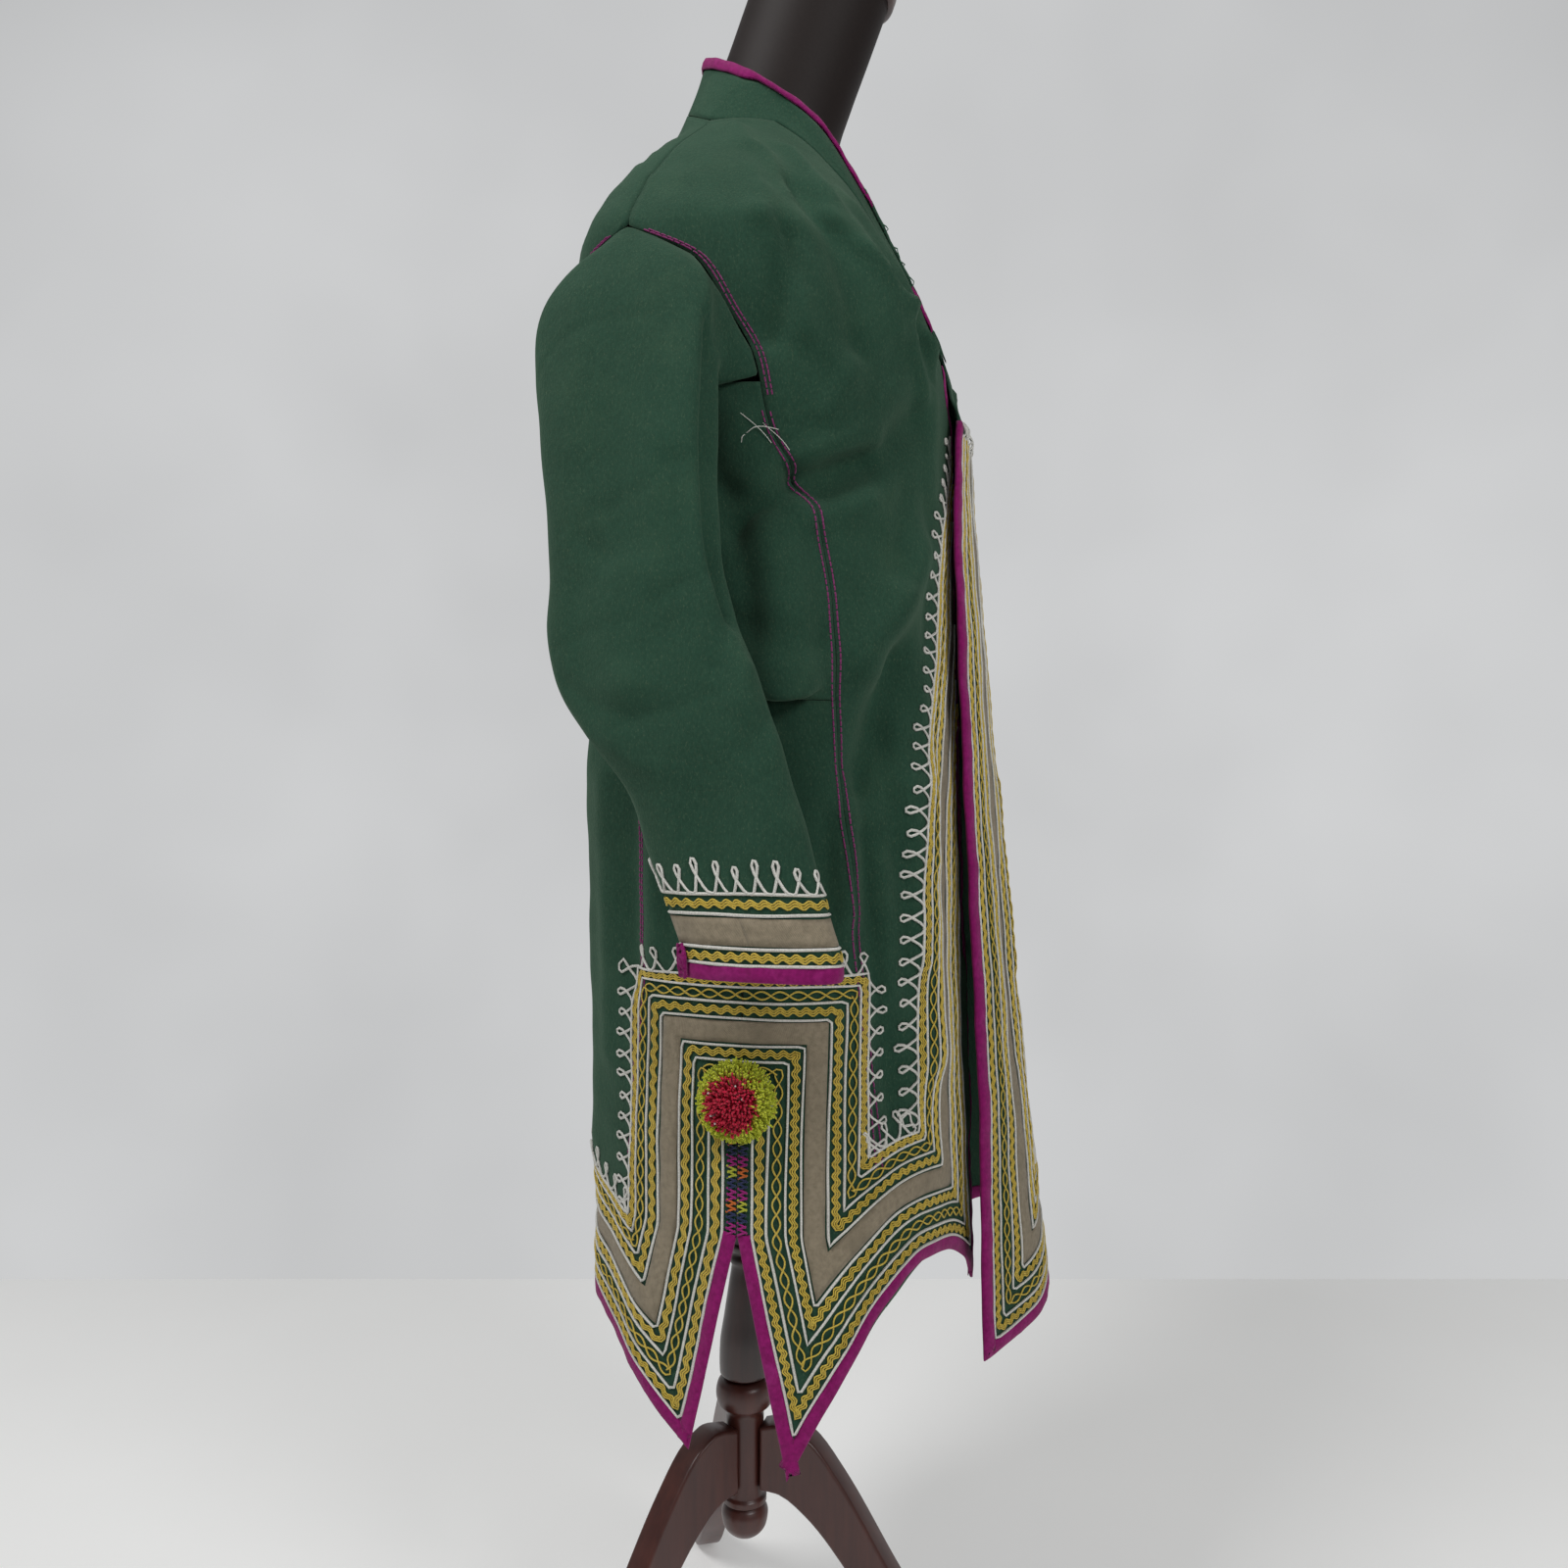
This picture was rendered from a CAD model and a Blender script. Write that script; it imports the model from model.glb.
import math
import random

import bmesh
import bpy
import numpy as np
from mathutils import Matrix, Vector


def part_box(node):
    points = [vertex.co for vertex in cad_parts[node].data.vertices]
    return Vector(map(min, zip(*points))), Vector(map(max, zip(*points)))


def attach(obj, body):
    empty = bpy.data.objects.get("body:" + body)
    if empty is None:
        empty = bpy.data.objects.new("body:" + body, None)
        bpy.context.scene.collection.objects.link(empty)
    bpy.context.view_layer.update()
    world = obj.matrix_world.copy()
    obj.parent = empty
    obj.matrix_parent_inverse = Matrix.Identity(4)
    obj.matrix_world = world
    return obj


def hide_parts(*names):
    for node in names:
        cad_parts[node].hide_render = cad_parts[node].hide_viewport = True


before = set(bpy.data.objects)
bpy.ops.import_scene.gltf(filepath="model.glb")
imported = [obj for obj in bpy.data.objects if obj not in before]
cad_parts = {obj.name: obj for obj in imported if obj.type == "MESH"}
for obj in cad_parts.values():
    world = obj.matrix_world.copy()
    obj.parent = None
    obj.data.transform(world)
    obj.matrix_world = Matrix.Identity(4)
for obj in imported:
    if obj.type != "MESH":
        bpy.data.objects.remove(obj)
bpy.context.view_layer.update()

right, left = -1, 1
sideName = {right: "right", left: "left"}
sideTitle = {right: "Right", left: "Left"}
postLow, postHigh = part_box("post")
axisY = (postLow[1] + postHigh[1]) / 2  # the stand's axis, the coat's tables start from it
print("frame loaded, stand axis at y =", round(axisY, 4))


# short tables with named columns, read smoothly
def table(columns, rows):
    values = np.array(sorted(rows), dtype=float).T
    return dict(zip(columns.split(), values))


def hermite(t, step, first, last, slopeFirst, slopeLast):
    return ((2 * t**3 - 3 * t**2 + 1) * first + (t**3 - 2 * t**2 + t) * step * slopeFirst
            + (3 * t**2 - 2 * t**3) * last + (t**3 - t**2) * step * slopeLast)


def unit(vectors):
    return vectors / (np.linalg.norm(vectors, axis=-1)[..., None] + 1e-12)


def runLength(points):
    return np.concatenate([[0], np.cumsum(np.linalg.norm(np.diff(points, axis=0), axis=1))])


def rowKnots(rows):
    # the mean run from row to row of a grid of points
    return np.concatenate([[0], np.cumsum(np.linalg.norm(np.diff(rows, axis=0), axis=2).mean(axis=1))])


def gridReader(i, j, shape):
    # reads any grid of that shape between its own points
    i, j = np.clip(i, 0, shape[0] - 1.001), np.clip(j, 0, shape[1] - 1.001)
    i0, j0 = i.astype(int), j.astype(int)
    fi, fj = (i - i0)[..., None], (j - j0)[..., None]
    return lambda grid: ((grid[i0, j0] * (1 - fj) + grid[i0, j0 + 1] * fj) * (1 - fi)
                         + (grid[i0 + 1, j0] * (1 - fj) + grid[i0 + 1, j0 + 1] * fj) * fi)


def read(source, column, at):
    xs, ys = source[next(iter(source))], source[column]
    step = np.diff(xs)
    slope = np.diff(ys) / step
    tangent = np.empty(len(xs))
    tangent[0], tangent[-1] = slope[0], slope[-1]
    before, after = slope[:-1], slope[1:]
    same = before * after > 0
    tangent[1:-1] = np.where(same, 2 * before * after / np.where(same, before + after, 1.0), 0.0)
    at = np.clip(np.asarray(at, dtype=float), xs[0], xs[-1])
    i = np.clip(np.searchsorted(xs, at) - 1, 0, len(xs) - 2)
    return hermite((at - xs[i]) / step[i], step[i], ys[i], ys[i + 1], tangent[i], tangent[i + 1])


# the worn coat's form, as in the solids
coat = {"cloth": 0.002, "seamGap": 0.0004, "armholeTop": 1.288, "armpit": 1.170, "goreTop": 0.925,
        "bandEnd": 1.235, "neckSide": 1.437, "slitTop": 0.515, "backNeck": 1.487, "curlFrom": 0.060}

body = table("height halfWidth widest frontRight frontLeft back fullness", [
    (0.340, 0.218, -0.060, -0.218, -0.290, 0.120, 2.3),
    (0.450, 0.210, -0.060, -0.215, -0.276, 0.118, 2.3),
    (0.590, 0.200, -0.055, -0.211, -0.260, 0.116, 2.3),
    (0.710, 0.193, -0.050, -0.207, -0.247, 0.120, 2.3),
    (0.860, 0.190, -0.040, -0.203, -0.232, 0.125, 2.3),
    (1.000, 0.190, -0.030, -0.198, -0.221, 0.108, 2.3),
    (1.100, 0.195, -0.015, -0.197, -0.212, 0.106, 2.3),
    (1.180, 0.207, 0.005, -0.195, -0.206, 0.114, 2.35),
    (1.205, 0.213, 0.010, -0.1915, -0.1965, 0.114, 2.35),
    (1.235, 0.220, 0.015, -0.187, -0.190, 0.114, 2.4),
    (1.288, 0.225, 0.018, -0.169, -0.170, 0.107, 2.45),
    (1.330, 0.203, 0.015, -0.147, -0.147, 0.097, 2.45),
    (1.370, 0.168, 0.010, -0.126, -0.126, 0.084, 2.35),
    (1.405, 0.131, 0.004, -0.105, -0.105, 0.072, 2.2),
    (1.437, 0.094, 0.000, -0.089, -0.089, 0.062, 2.1),
    (1.490, 0.062, 0.000, -0.070, -0.070, 0.047, 2.0),
])
seams = table("height frontSeam vent backSeam", [
    (0.340, -0.178, -0.068, 0.050),
    (0.590, -0.162, -0.063, 0.034),
    (0.730, -0.148, -0.064, 0.028),
    (0.890, -0.133, -0.055, 0.032),
    (1.000, -0.128, -0.045, 0.045),
    (1.075, -0.115, -0.020, 0.068),
    (1.140, -0.084, 0.000, 0.082),
    (1.190, -0.075, 0.010, 0.090),
    (1.223, -0.058, 0.012, 0.090),
    (1.260, -0.036, 0.015, 0.075),
    (1.288, 0.016, 0.018, 0.020),
])
ventHalf = table("height front back", [
    (0.340, 0.038, 0.044), (0.400, 0.025, 0.029), (0.460, 0.012, 0.014), (0.515, 0.0004, 0.0004),
])
frontEdges = table("height right left", [
    (0.340, 0.006, -0.062),
    (0.600, 0.002, -0.055),
    (0.800, 0.002, -0.050),
    (1.000, 0.005, -0.049),
    (1.100, 0.005, -0.044),
    (1.160, 0.003, -0.030),
    (1.196, 0.000, -0.016),
    (1.216, -0.0012, 0.0012),
    (1.235, -0.0012, 0.0012),
])
curl = table("height depth", [
    (0.340, 0.050), (0.450, 0.040), (0.600, 0.028), (0.800, 0.018), (1.000, 0.008), (1.180, 0.0),
])
neckline = table("height reach", [
    (1.235, 0.0015), (1.262, 0.016), (1.290, 0.029), (1.330, 0.044),
    (1.378, 0.060), (1.410, 0.070), (1.437, 0.077),
])
hems = {
    right: table("across height", [(0.0, 0.418), (0.12, 0.446), (0.30, 0.474), (0.45, 0.480),
                                   (0.60, 0.459), (0.75, 0.420), (1.0, 0.337)]),
    left: table("across height", [(0.0, 0.377), (0.15, 0.391), (0.33, 0.412), (0.50, 0.432),
                                  (0.65, 0.436), (0.80, 0.408), (1.0, 0.345)]),
    "back": table("across height", [(0.0, 0.350), (0.20, 0.390), (0.45, 0.426), (0.75, 0.445),
                                    (1.0, 0.450)]),
}

# folds and creases as strokes on the cloth: (distance from the centre front, height) at both
# ends, then width and depth; the first ones are the solids' own
folds = {
    right: [
        (0.172, 1.330, 0.160, 1.205, 0.016, -0.010),
        (0.140, 1.330, 0.118, 1.230, 0.015, 0.008),
        (0.100, 1.340, 0.060, 1.220, 0.015, 0.007),
        (0.085, 1.165, 0.190, 1.090, 0.018, -0.013),
        (0.090, 1.050, 0.160, 0.960, 0.022, 0.012),
        (0.130, 0.960, 0.165, 0.860, 0.018, -0.016),
        (0.110, 0.860, 0.100, 0.640, 0.022, 0.010),
        (0.165, 0.820, 0.150, 0.600, 0.014, -0.007),
        (0.360, 1.120, 0.400, 0.940, 0.025, -0.010),
        (0.430, 0.900, 0.460, 0.560, 0.030, 0.008),
    ],
    left: [
        (0.170, 1.330, 0.158, 1.200, 0.016, -0.008),
        (0.120, 1.320, 0.085, 1.210, 0.015, 0.006),
        (0.115, 1.140, 0.180, 1.080, 0.020, -0.010),
        (0.095, 1.030, 0.165, 0.930, 0.022, 0.009),
        (0.150, 0.960, 0.185, 0.850, 0.018, -0.012),
        (0.120, 0.880, 0.135, 0.600, 0.024, 0.010),
        (0.370, 1.110, 0.410, 0.900, 0.028, -0.011),
        (0.470, 1.000, 0.480, 0.620, 0.034, 0.008),
    ],
}
creases = {
    right: [
        (0.142, 1.416, 0.232, 1.292, 0.009, 0.0030), (0.232, 1.292, 0.207, 1.210, 0.010, 0.0032),
        (0.163, 1.372, 0.187, 1.324, 0.007, 0.0022), (0.176, 1.372, 0.200, 1.330, 0.007, -0.0020),
        (0.127, 1.384, 0.157, 1.308, 0.008, 0.0030), (0.157, 1.308, 0.100, 1.250, 0.008, 0.0028),
        (0.143, 1.296, 0.092, 1.240, 0.007, -0.0026), (0.139, 1.290, 0.106, 1.250, 0.007, 0.0030),
        (0.106, 1.250, 0.079, 1.184, 0.008, 0.0036), (0.095, 1.255, 0.060, 1.205, 0.007, -0.0026),
        (0.106, 1.248, 0.050, 1.228, 0.007, 0.0028), (0.211, 1.282, 0.235, 1.204, 0.010, -0.0040),
        (0.259, 1.384, 0.275, 1.352, 0.006, -0.0006), (0.270, 1.388, 0.292, 1.340, 0.006, 0.0006),
        (0.262, 1.356, 0.316, 1.296, 0.009, -0.0008), (0.240, 1.400, 0.262, 1.362, 0.006, 0.0005),
        (0.150, 1.120, 0.215, 1.096, 0.010, -0.0040), (0.215, 1.096, 0.262, 1.056, 0.010, -0.0044),
        (0.140, 1.140, 0.212, 1.112, 0.010, 0.0036), (0.150, 1.086, 0.205, 1.066, 0.012, 0.0032),
        (0.118, 1.210, 0.150, 1.170, 0.010, -0.0022), (0.165, 1.195, 0.190, 1.150, 0.010, 0.0024),
        (0.060, 1.190, 0.072, 1.110, 0.012, 0.0020), (0.110, 1.100, 0.125, 1.030, 0.012, -0.0022),
        (0.075, 1.090, 0.080, 0.980, 0.012, -0.0020), (0.120, 1.010, 0.150, 0.950, 0.012, 0.0030),
        (0.140, 0.900, 0.128, 0.770, 0.012, -0.0030), (0.128, 0.860, 0.118, 0.720, 0.010, 0.0028),
        (0.150, 0.800, 0.146, 0.690, 0.009, 0.0024), (0.095, 0.930, 0.090, 0.800, 0.012, 0.0018),
        (0.175, 0.860, 0.182, 0.760, 0.010, 0.0026), (0.196, 0.830, 0.200, 0.740, 0.010, -0.0022),
        (0.330, 0.900, 0.345, 0.730, 0.014, 0.0030), (0.365, 0.880, 0.372, 0.700, 0.012, -0.0028),
        (0.400, 0.860, 0.412, 0.640, 0.016, 0.0030), (0.430, 1.260, 0.410, 1.120, 0.018, 0.0035),
        (0.460, 1.200, 0.452, 1.040, 0.016, -0.0030), (0.395, 1.060, 0.420, 0.930, 0.015, 0.0035),
        (0.010, 0.900, 0.016, 0.760, 0.008, -0.0016), (0.012, 0.700, 0.008, 0.560, 0.008, 0.0014),
    ],
    left: [
        (0.140, 1.410, 0.222, 1.300, 0.010, 0.0030), (0.222, 1.300, 0.205, 1.215, 0.010, -0.0030),
        (0.122, 1.380, 0.150, 1.310, 0.008, 0.0026), (0.146, 1.300, 0.098, 1.240, 0.008, 0.0030),
        (0.104, 1.262, 0.060, 1.215, 0.007, -0.0026), (0.200, 1.276, 0.226, 1.196, 0.010, -0.0036),
        (0.262, 1.380, 0.290, 1.334, 0.007, 0.0006), (0.256, 1.362, 0.306, 1.300, 0.009, -0.0008),
        (0.142, 1.128, 0.206, 1.084, 0.011, -0.0042), (0.134, 1.146, 0.204, 1.106, 0.010, 0.0034),
        (0.090, 1.180, 0.096, 1.100, 0.012, 0.0022), (0.080, 1.070, 0.092, 0.960, 0.012, -0.0022),
        (0.118, 1.000, 0.146, 0.930, 0.012, 0.0030), (0.100, 0.920, 0.108, 0.780, 0.012, 0.0024),
        (0.146, 0.880, 0.140, 0.740, 0.011, -0.0030), (0.166, 0.850, 0.170, 0.700, 0.010, 0.0026),
        (0.335, 0.890, 0.350, 0.720, 0.014, 0.0030), (0.372, 0.880, 0.380, 0.690, 0.012, -0.0026),
        (0.410, 0.880, 0.420, 0.650, 0.016, 0.0030), (0.436, 1.250, 0.420, 1.100, 0.018, 0.0036),
        (0.466, 1.180, 0.458, 1.020, 0.016, -0.0030), (0.400, 1.040, 0.426, 0.900, 0.015, 0.0032),
        (0.040, 0.860, 0.034, 0.700, 0.010, 0.0016), (0.010, 0.780, 0.004, 0.620, 0.010, -0.0016),
    ],
}
print("tables ready")


def strokeField(strokes, across, height):
    field = np.zeros(np.broadcast(across, height).shape)
    for x1, y1, x2, y2, width, depth in strokes:
        run = np.array([x2 - x1, y2 - y1])
        along = np.clip(((across - x1) * run[0] + (height - y1) * run[1]) / (run @ run), 0, 1)
        gap = np.hypot(across - x1 - along * run[0], height - y1 - along * run[1])
        field += depth * np.exp(-(gap / width)**2)
    return field


def smoothStep(low, high, value):
    t = np.clip((value - low) / (high - low), 0, 1)
    return t * t * (3 - 2 * t)


coatGrid = {"low": 0.330, "high": 1.4915, "rise": 0.003, "first": -0.085, "last": 0.700, "step": 0.0025,
            "relief": 1.9, "wobble": 0.0007, "flute": 0.0022}


class Coat:
    # one side of the coat as a fine grid over (distance along the cloth, height)
    def __init__(self, side):
        self.side = side
        self.heights = np.arange(coatGrid["low"], coatGrid["high"], coatGrid["rise"])
        self.across = np.arange(coatGrid["first"], coatGrid["last"], coatGrid["step"])
        rows = []
        edges = {key: [] for key in ("frontEdge", "frontSeam", "vent", "backSeam", "ridge", "centreBack")}
        for height in self.heights:
            row, marks = self.section(height)
            rows.append(row)
            for key, value in marks.items():
                edges[key].append(value)
        self.edges = {key: np.array(values) for key, values in edges.items()}
        self.points = np.array(rows)
        self.points = self.points + self.outward() * self.relief()[:, :, None]
        self.normals = self.outward()

    def outward(self):
        return unit(self.side * np.cross(np.gradient(self.points, axis=1), np.gradient(self.points, axis=0)))

    def section(self, height):
        side = self.side
        half, widest, back, full = (float(read(body, key, height))
                                    for key in ("halfWidth", "widest", "back", "fullness"))
        front = float(read(body, "frontRight" if side == right else "frontLeft", height))
        angle = np.radians(np.linspace(-42, 200, 300))
        wide = np.abs(np.sin(angle))**(2 / full) * np.sign(np.sin(angle))
        deep = np.abs(np.cos(angle))**(2 / full)
        y = np.where(np.cos(angle) > 0, widest - (widest - front) * deep, widest + (back - widest) * deep)
        x = side * half * wide
        if side == left:
            swing = np.clip((coat["curlFrom"] - x) / (2 * coat["curlFrom"]), 0, 1.2)
            y = y + float(read(curl, "depth", height)) * swing**2 * (np.cos(angle) > 0)
        run = np.concatenate([[0], np.cumsum(np.hypot(np.diff(x), np.diff(y)))])
        run = run - np.interp(0, angle, run)
        flank = (angle > math.radians(12)) & (angle < math.radians(168))
        ahead = angle < math.radians(88)
        atY = lambda value: float(np.interp(value, y[flank], run[flank]))
        atX = lambda value: float(np.interp(side * value, side * x[ahead], run[ahead]))
        ridge = float(np.interp(math.radians(90), angle, run))
        over = height >= coat["armholeTop"]
        if height <= coat["bandEnd"]:
            edge = atX(float(read(frontEdges, sideName[side], height)))
        else:
            edge = atX(side * float(read(neckline, "reach", height)))
        marks = {
            "frontEdge": edge, "ridge": ridge, "centreBack": float(np.interp(math.pi, angle, run)),
            "frontSeam": ridge if over else atY(float(read(seams, "frontSeam", height))),
            "backSeam": ridge if over else atY(float(read(seams, "backSeam", height))),
            "vent": atY(float(read(seams, "vent", height))),
        }
        slopeX, slopeY = np.gradient(x), np.gradient(y)
        size = np.hypot(slopeX, slopeY) + 1e-12
        reliefOut = strokeField(folds[side], self.across, height)
        columns = [np.interp(self.across, run, values)
                   for values in (x, y, side * slopeY / size, -side * slopeX / size)]
        row = np.stack([columns[0] + columns[2] * reliefOut, axisY + columns[1] + columns[3] * reliefOut,
                        np.full(len(self.across), height)], axis=1)
        return row, marks

    def relief(self):
        # creases, then a slow unevenness of the cloth that fades at the neck and hem
        across, height = np.meshgrid(self.across, self.heights)
        relief = coatGrid["relief"] * strokeField(creases[self.side], across, height)
        wobble = (np.sin(across * 61 + height * 17 + self.side) * np.sin(height * 43 - across * 23)
                  + 0.6 * np.sin(across * 118 - height * 39) * np.sin(height * 91 + across * 31 + self.side))
        relief += coatGrid["wobble"] * wobble * smoothStep(1.45, 1.38, height)
        # felt flutes gently towards the hem
        flutes = np.sin(across * 74 + 1.3 * self.side) * smoothStep(0.62, 0.36, height)
        return relief + coatGrid["flute"] * flutes

    def edge(self, key, height):
        return np.interp(height, self.heights, self.edges[key])

    def ventEdge(self, half, height):
        open_ = read(ventHalf, half, np.minimum(height, coat["slitTop"]))
        return self.edge("vent", height) + (-open_ if half == "front" else open_)

    def spots(self, across, height, out=0.0):
        across, height = np.broadcast_arrays(np.asarray(across, float), np.asarray(height, float))
        blend = gridReader((height - self.heights[0]) / coatGrid["rise"],
                           (across - self.across[0]) / coatGrid["step"], self.points.shape)
        return blend(self.points) + unit(blend(self.normals)) * np.asarray(out)[..., None]

    def hemHeight(self, part, across):
        # the hem's height above any distance along the cloth
        z = np.full(np.shape(across), 0.42)
        for _ in range(12):
            if part == "front":
                start, end, hem = self.edge("frontEdge", z), self.ventEdge("front", z), hems[self.side]
            else:
                start, end, hem = self.ventEdge("back", z), self.edge("centreBack", z), hems["back"]
            z = 0.5 * z + 0.5 * read(hem, "height", (across - start) / (end - start))
        return z


coats = {side: Coat(side) for side in (right, left)}
print("cloth form ready")


# mesh helpers
def placed(name, data):
    made = bpy.data.objects.new(name, data)
    bpy.context.scene.collection.objects.link(made)
    return made


def finishMesh(name, shape, finish, smooth=True):
    mesh = bpy.data.meshes.new(name)
    shape.to_mesh(mesh)
    shape.free()
    if smooth:
        mesh.shade_smooth()
    mesh.materials.append(finish)
    return placed(name, mesh)


def clothGrid(name, columns, rows, place, finish, flip=False, closed=False):
    # a grid whose points are moved onto the form by place(share across, share up)
    shape = bmesh.new()
    bmesh.ops.create_grid(shape, x_segments=columns, y_segments=rows, size=0.5)
    s = np.array([vert.co.x + 0.5 for vert in shape.verts])
    t = np.array([vert.co.y + 0.5 for vert in shape.verts])
    spots, flat = place(s, t)
    uv = shape.loops.layers.uv.new("cloth")
    flat = {vert: spot for vert, spot in zip(shape.verts, flat)}
    for face in shape.faces:
        for loop in face.loops:
            loop[uv].uv = flat[loop.vert]
    for vert, spot in zip(shape.verts, spots):
        vert.co = spot
    if closed:
        bmesh.ops.remove_doubles(shape, verts=shape.verts, dist=0.00005)
    if flip:
        bmesh.ops.reverse_faces(shape, faces=shape.faces)
    return finishMesh(name, shape, finish)


def thicken(piece, thickness):
    wall = piece.modifiers.new("thickness", "SOLIDIFY")
    wall.thickness, wall.offset = thickness, -1.0


def curveMesh(name, curve):
    guide = placed(name + "Guide", curve)
    bpy.context.view_layer.update()
    mesh = bpy.data.meshes.new_from_object(guide.evaluated_get(bpy.context.evaluated_depsgraph_get()))
    bpy.data.objects.remove(guide, do_unlink=True)
    return mesh


def settle(piece, slot, *nodes):
    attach(piece, "root")
    if nodes:
        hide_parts(*nodes)
    return piece


def cordPiece(name, paths, radius, finish, slot="yarn", nodes=()):
    # laid cords: many open runs in one piece, each a thin tube
    curve = bpy.data.curves.new(name, "CURVE")
    curve.dimensions = "3D"
    curve.bevel_depth, curve.bevel_resolution = radius, 0
    curve.use_fill_caps = True
    for path in paths:
        spline = curve.splines.new("POLY")
        spline.points.add(len(path) - 1)
        spline.points.foreach_set("co", np.c_[np.asarray(path), np.ones(len(path))].ravel())
    mesh = curveMesh(name, curve)
    mesh.name = name
    mesh.shade_smooth()
    mesh.materials.clear()
    mesh.materials.append(finish)
    return settle(placed(name, mesh), slot, *nodes)


# shader expressions
class Sock:
    def __init__(self, tree, socket):
        self.tree, self.socket = tree, socket

    def node(self, kind, settings=None, **sockets):
        made = self.tree.nodes.new(kind)
        for key, value in (settings or {}).items():
            setattr(made, key, value)
        for key, value in sockets.items():
            # i0 and i1 are the first two sockets, the rest go by name
            target = made.inputs[int(key[1:])] if key[1:].isdigit() else made.inputs[key.replace("_", " ")]
            if isinstance(value, Sock):
                self.tree.links.new(value.socket, target)
            else:
                target.default_value = value
        return made

    def out(self, made, name=0):
        return Sock(self.tree, made.outputs[name])

    def math(self, operation, first, second=0.0):
        return self.out(self.node("ShaderNodeMath", {"operation": operation}, i0=first, i1=second))

    def __add__(self, other): return self.math("ADD", self, other)
    def __sub__(self, other): return self.math("SUBTRACT", self, other)
    def __mul__(self, other): return self.math("MULTIPLY", self, other)
    def __rmul__(self, other): return self.math("MULTIPLY", other, self)


class Finish:
    # a material with its shader, coordinates and the patterns used here
    def __init__(self, name, roughness, **fixed):
        self.material = bpy.data.materials.new(name)
        self.material.use_nodes = True
        self.tree = self.material.node_tree
        self.shader = self.tree.nodes["Principled BSDF"]
        self.shader.inputs["Roughness"].default_value = roughness
        for key, value in fixed.items():
            self.shader.inputs[key.replace("_", " ")].default_value = value
        place = self.tree.nodes.new("ShaderNodeTexCoord")
        self.where = Sock(self.tree, place.outputs["Object"])
        self.flat = Sock(self.tree, place.outputs["UV"])

    def noise(self, scale, detail=3.0, roughness=0.55, stretch=None):
        start = self.where
        if stretch:
            start = start.out(start.node("ShaderNodeMapping", None, Vector=start, Scale=stretch))
        return start.out(start.node("ShaderNodeTexNoise", None, Vector=start, Scale=scale, Detail=detail,
                                    Roughness=roughness))

    def level(self, value, low, high):
        made = value.node("ShaderNodeMapRange", {"clamp": True}, Value=value, From_Min=low, From_Max=high)
        return value.out(made)

    def mix(self, share, first, second):
        # colours by a share
        made = self.where.node("ShaderNodeMix", {"data_type": "RGBA"})
        for spot, value in zip((0, 6, 7), (share, first, second)):
            if isinstance(value, Sock):
                self.tree.links.new(value.socket, made.inputs[spot])
            else:
                made.inputs[spot].default_value = value if spot == 0 else (*value, 1.0)
        return Sock(self.tree, made.outputs[2])

    def colour(self, value):
        self.tree.links.new(value.socket, self.shader.inputs["Base Color"])

    def rough(self, value):
        self.tree.links.new(value.socket, self.shader.inputs["Roughness"])

    def bump(self, height, strength, distance):
        made = height.node("ShaderNodeBump", None, Height=height, Strength=strength, Distance=distance)
        self.tree.links.new(made.outputs["Normal"], self.shader.inputs["Normal"])


def feltFinish(name, dark, pale, rubbed):
    felt = Finish(name, 0.95, Sheen_Weight=0.25, Sheen_Roughness=0.6)
    felt.shader.inputs["Sheen Tint"].default_value = (0.30, 0.42, 0.30, 1.0)
    felt.shader.inputs["Specular IOR Level"].default_value = 0.12
    cloud = felt.noise(9.0, 4.0, 0.6)
    fibres = felt.noise(520.0, 3.0, 0.7, stretch=(1.0, 1.0, 0.5))
    flecks = felt.level(felt.noise(900.0, 3.0, 0.75, stretch=(1.0, 1.0, 0.45)), 0.57, 0.72)
    hairs = felt.level(felt.noise(330.0, 4.0, 0.7, stretch=(1.0, 1.0, 0.7)), 0.54, 0.72)
    worn = felt.level(felt.noise(16.0, 5.0, 0.7), 0.52, 0.72)
    shade = felt.mix(felt.level(cloud, 0.30, 0.70), dark, pale)
    shade = felt.mix(worn * 0.40, shade, rubbed)
    shade = felt.mix(felt.level(fibres, 0.35, 0.75) * 0.35, shade, tuple(1.7 * part for part in pale))
    shade = felt.mix(flecks * 0.36, shade, (0.13, 0.17, 0.10))
    shade = felt.mix(hairs * 0.30, shade, (0.050, 0.090, 0.055))
    felt.colour(shade)
    felt.bump(fibres + 0.8 * felt.noise(170.0, 3.0, 0.6), 0.45, 0.0012)
    return felt.material


def cordFinish(name, colour, pale, scale=900.0):
    cord = Finish(name, 0.82, Sheen_Weight=0.15)
    cord.shader.inputs["Specular IOR Level"].default_value = 0.2
    twist = cord.noise(scale, 2.0, 0.6)
    cord.colour(cord.mix(cord.level(twist + 0.25 * cord.noise(60.0), 0.40, 0.80), colour, pale))
    cord.bump(twist, 0.6, 0.0007)
    return cord.material


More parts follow.
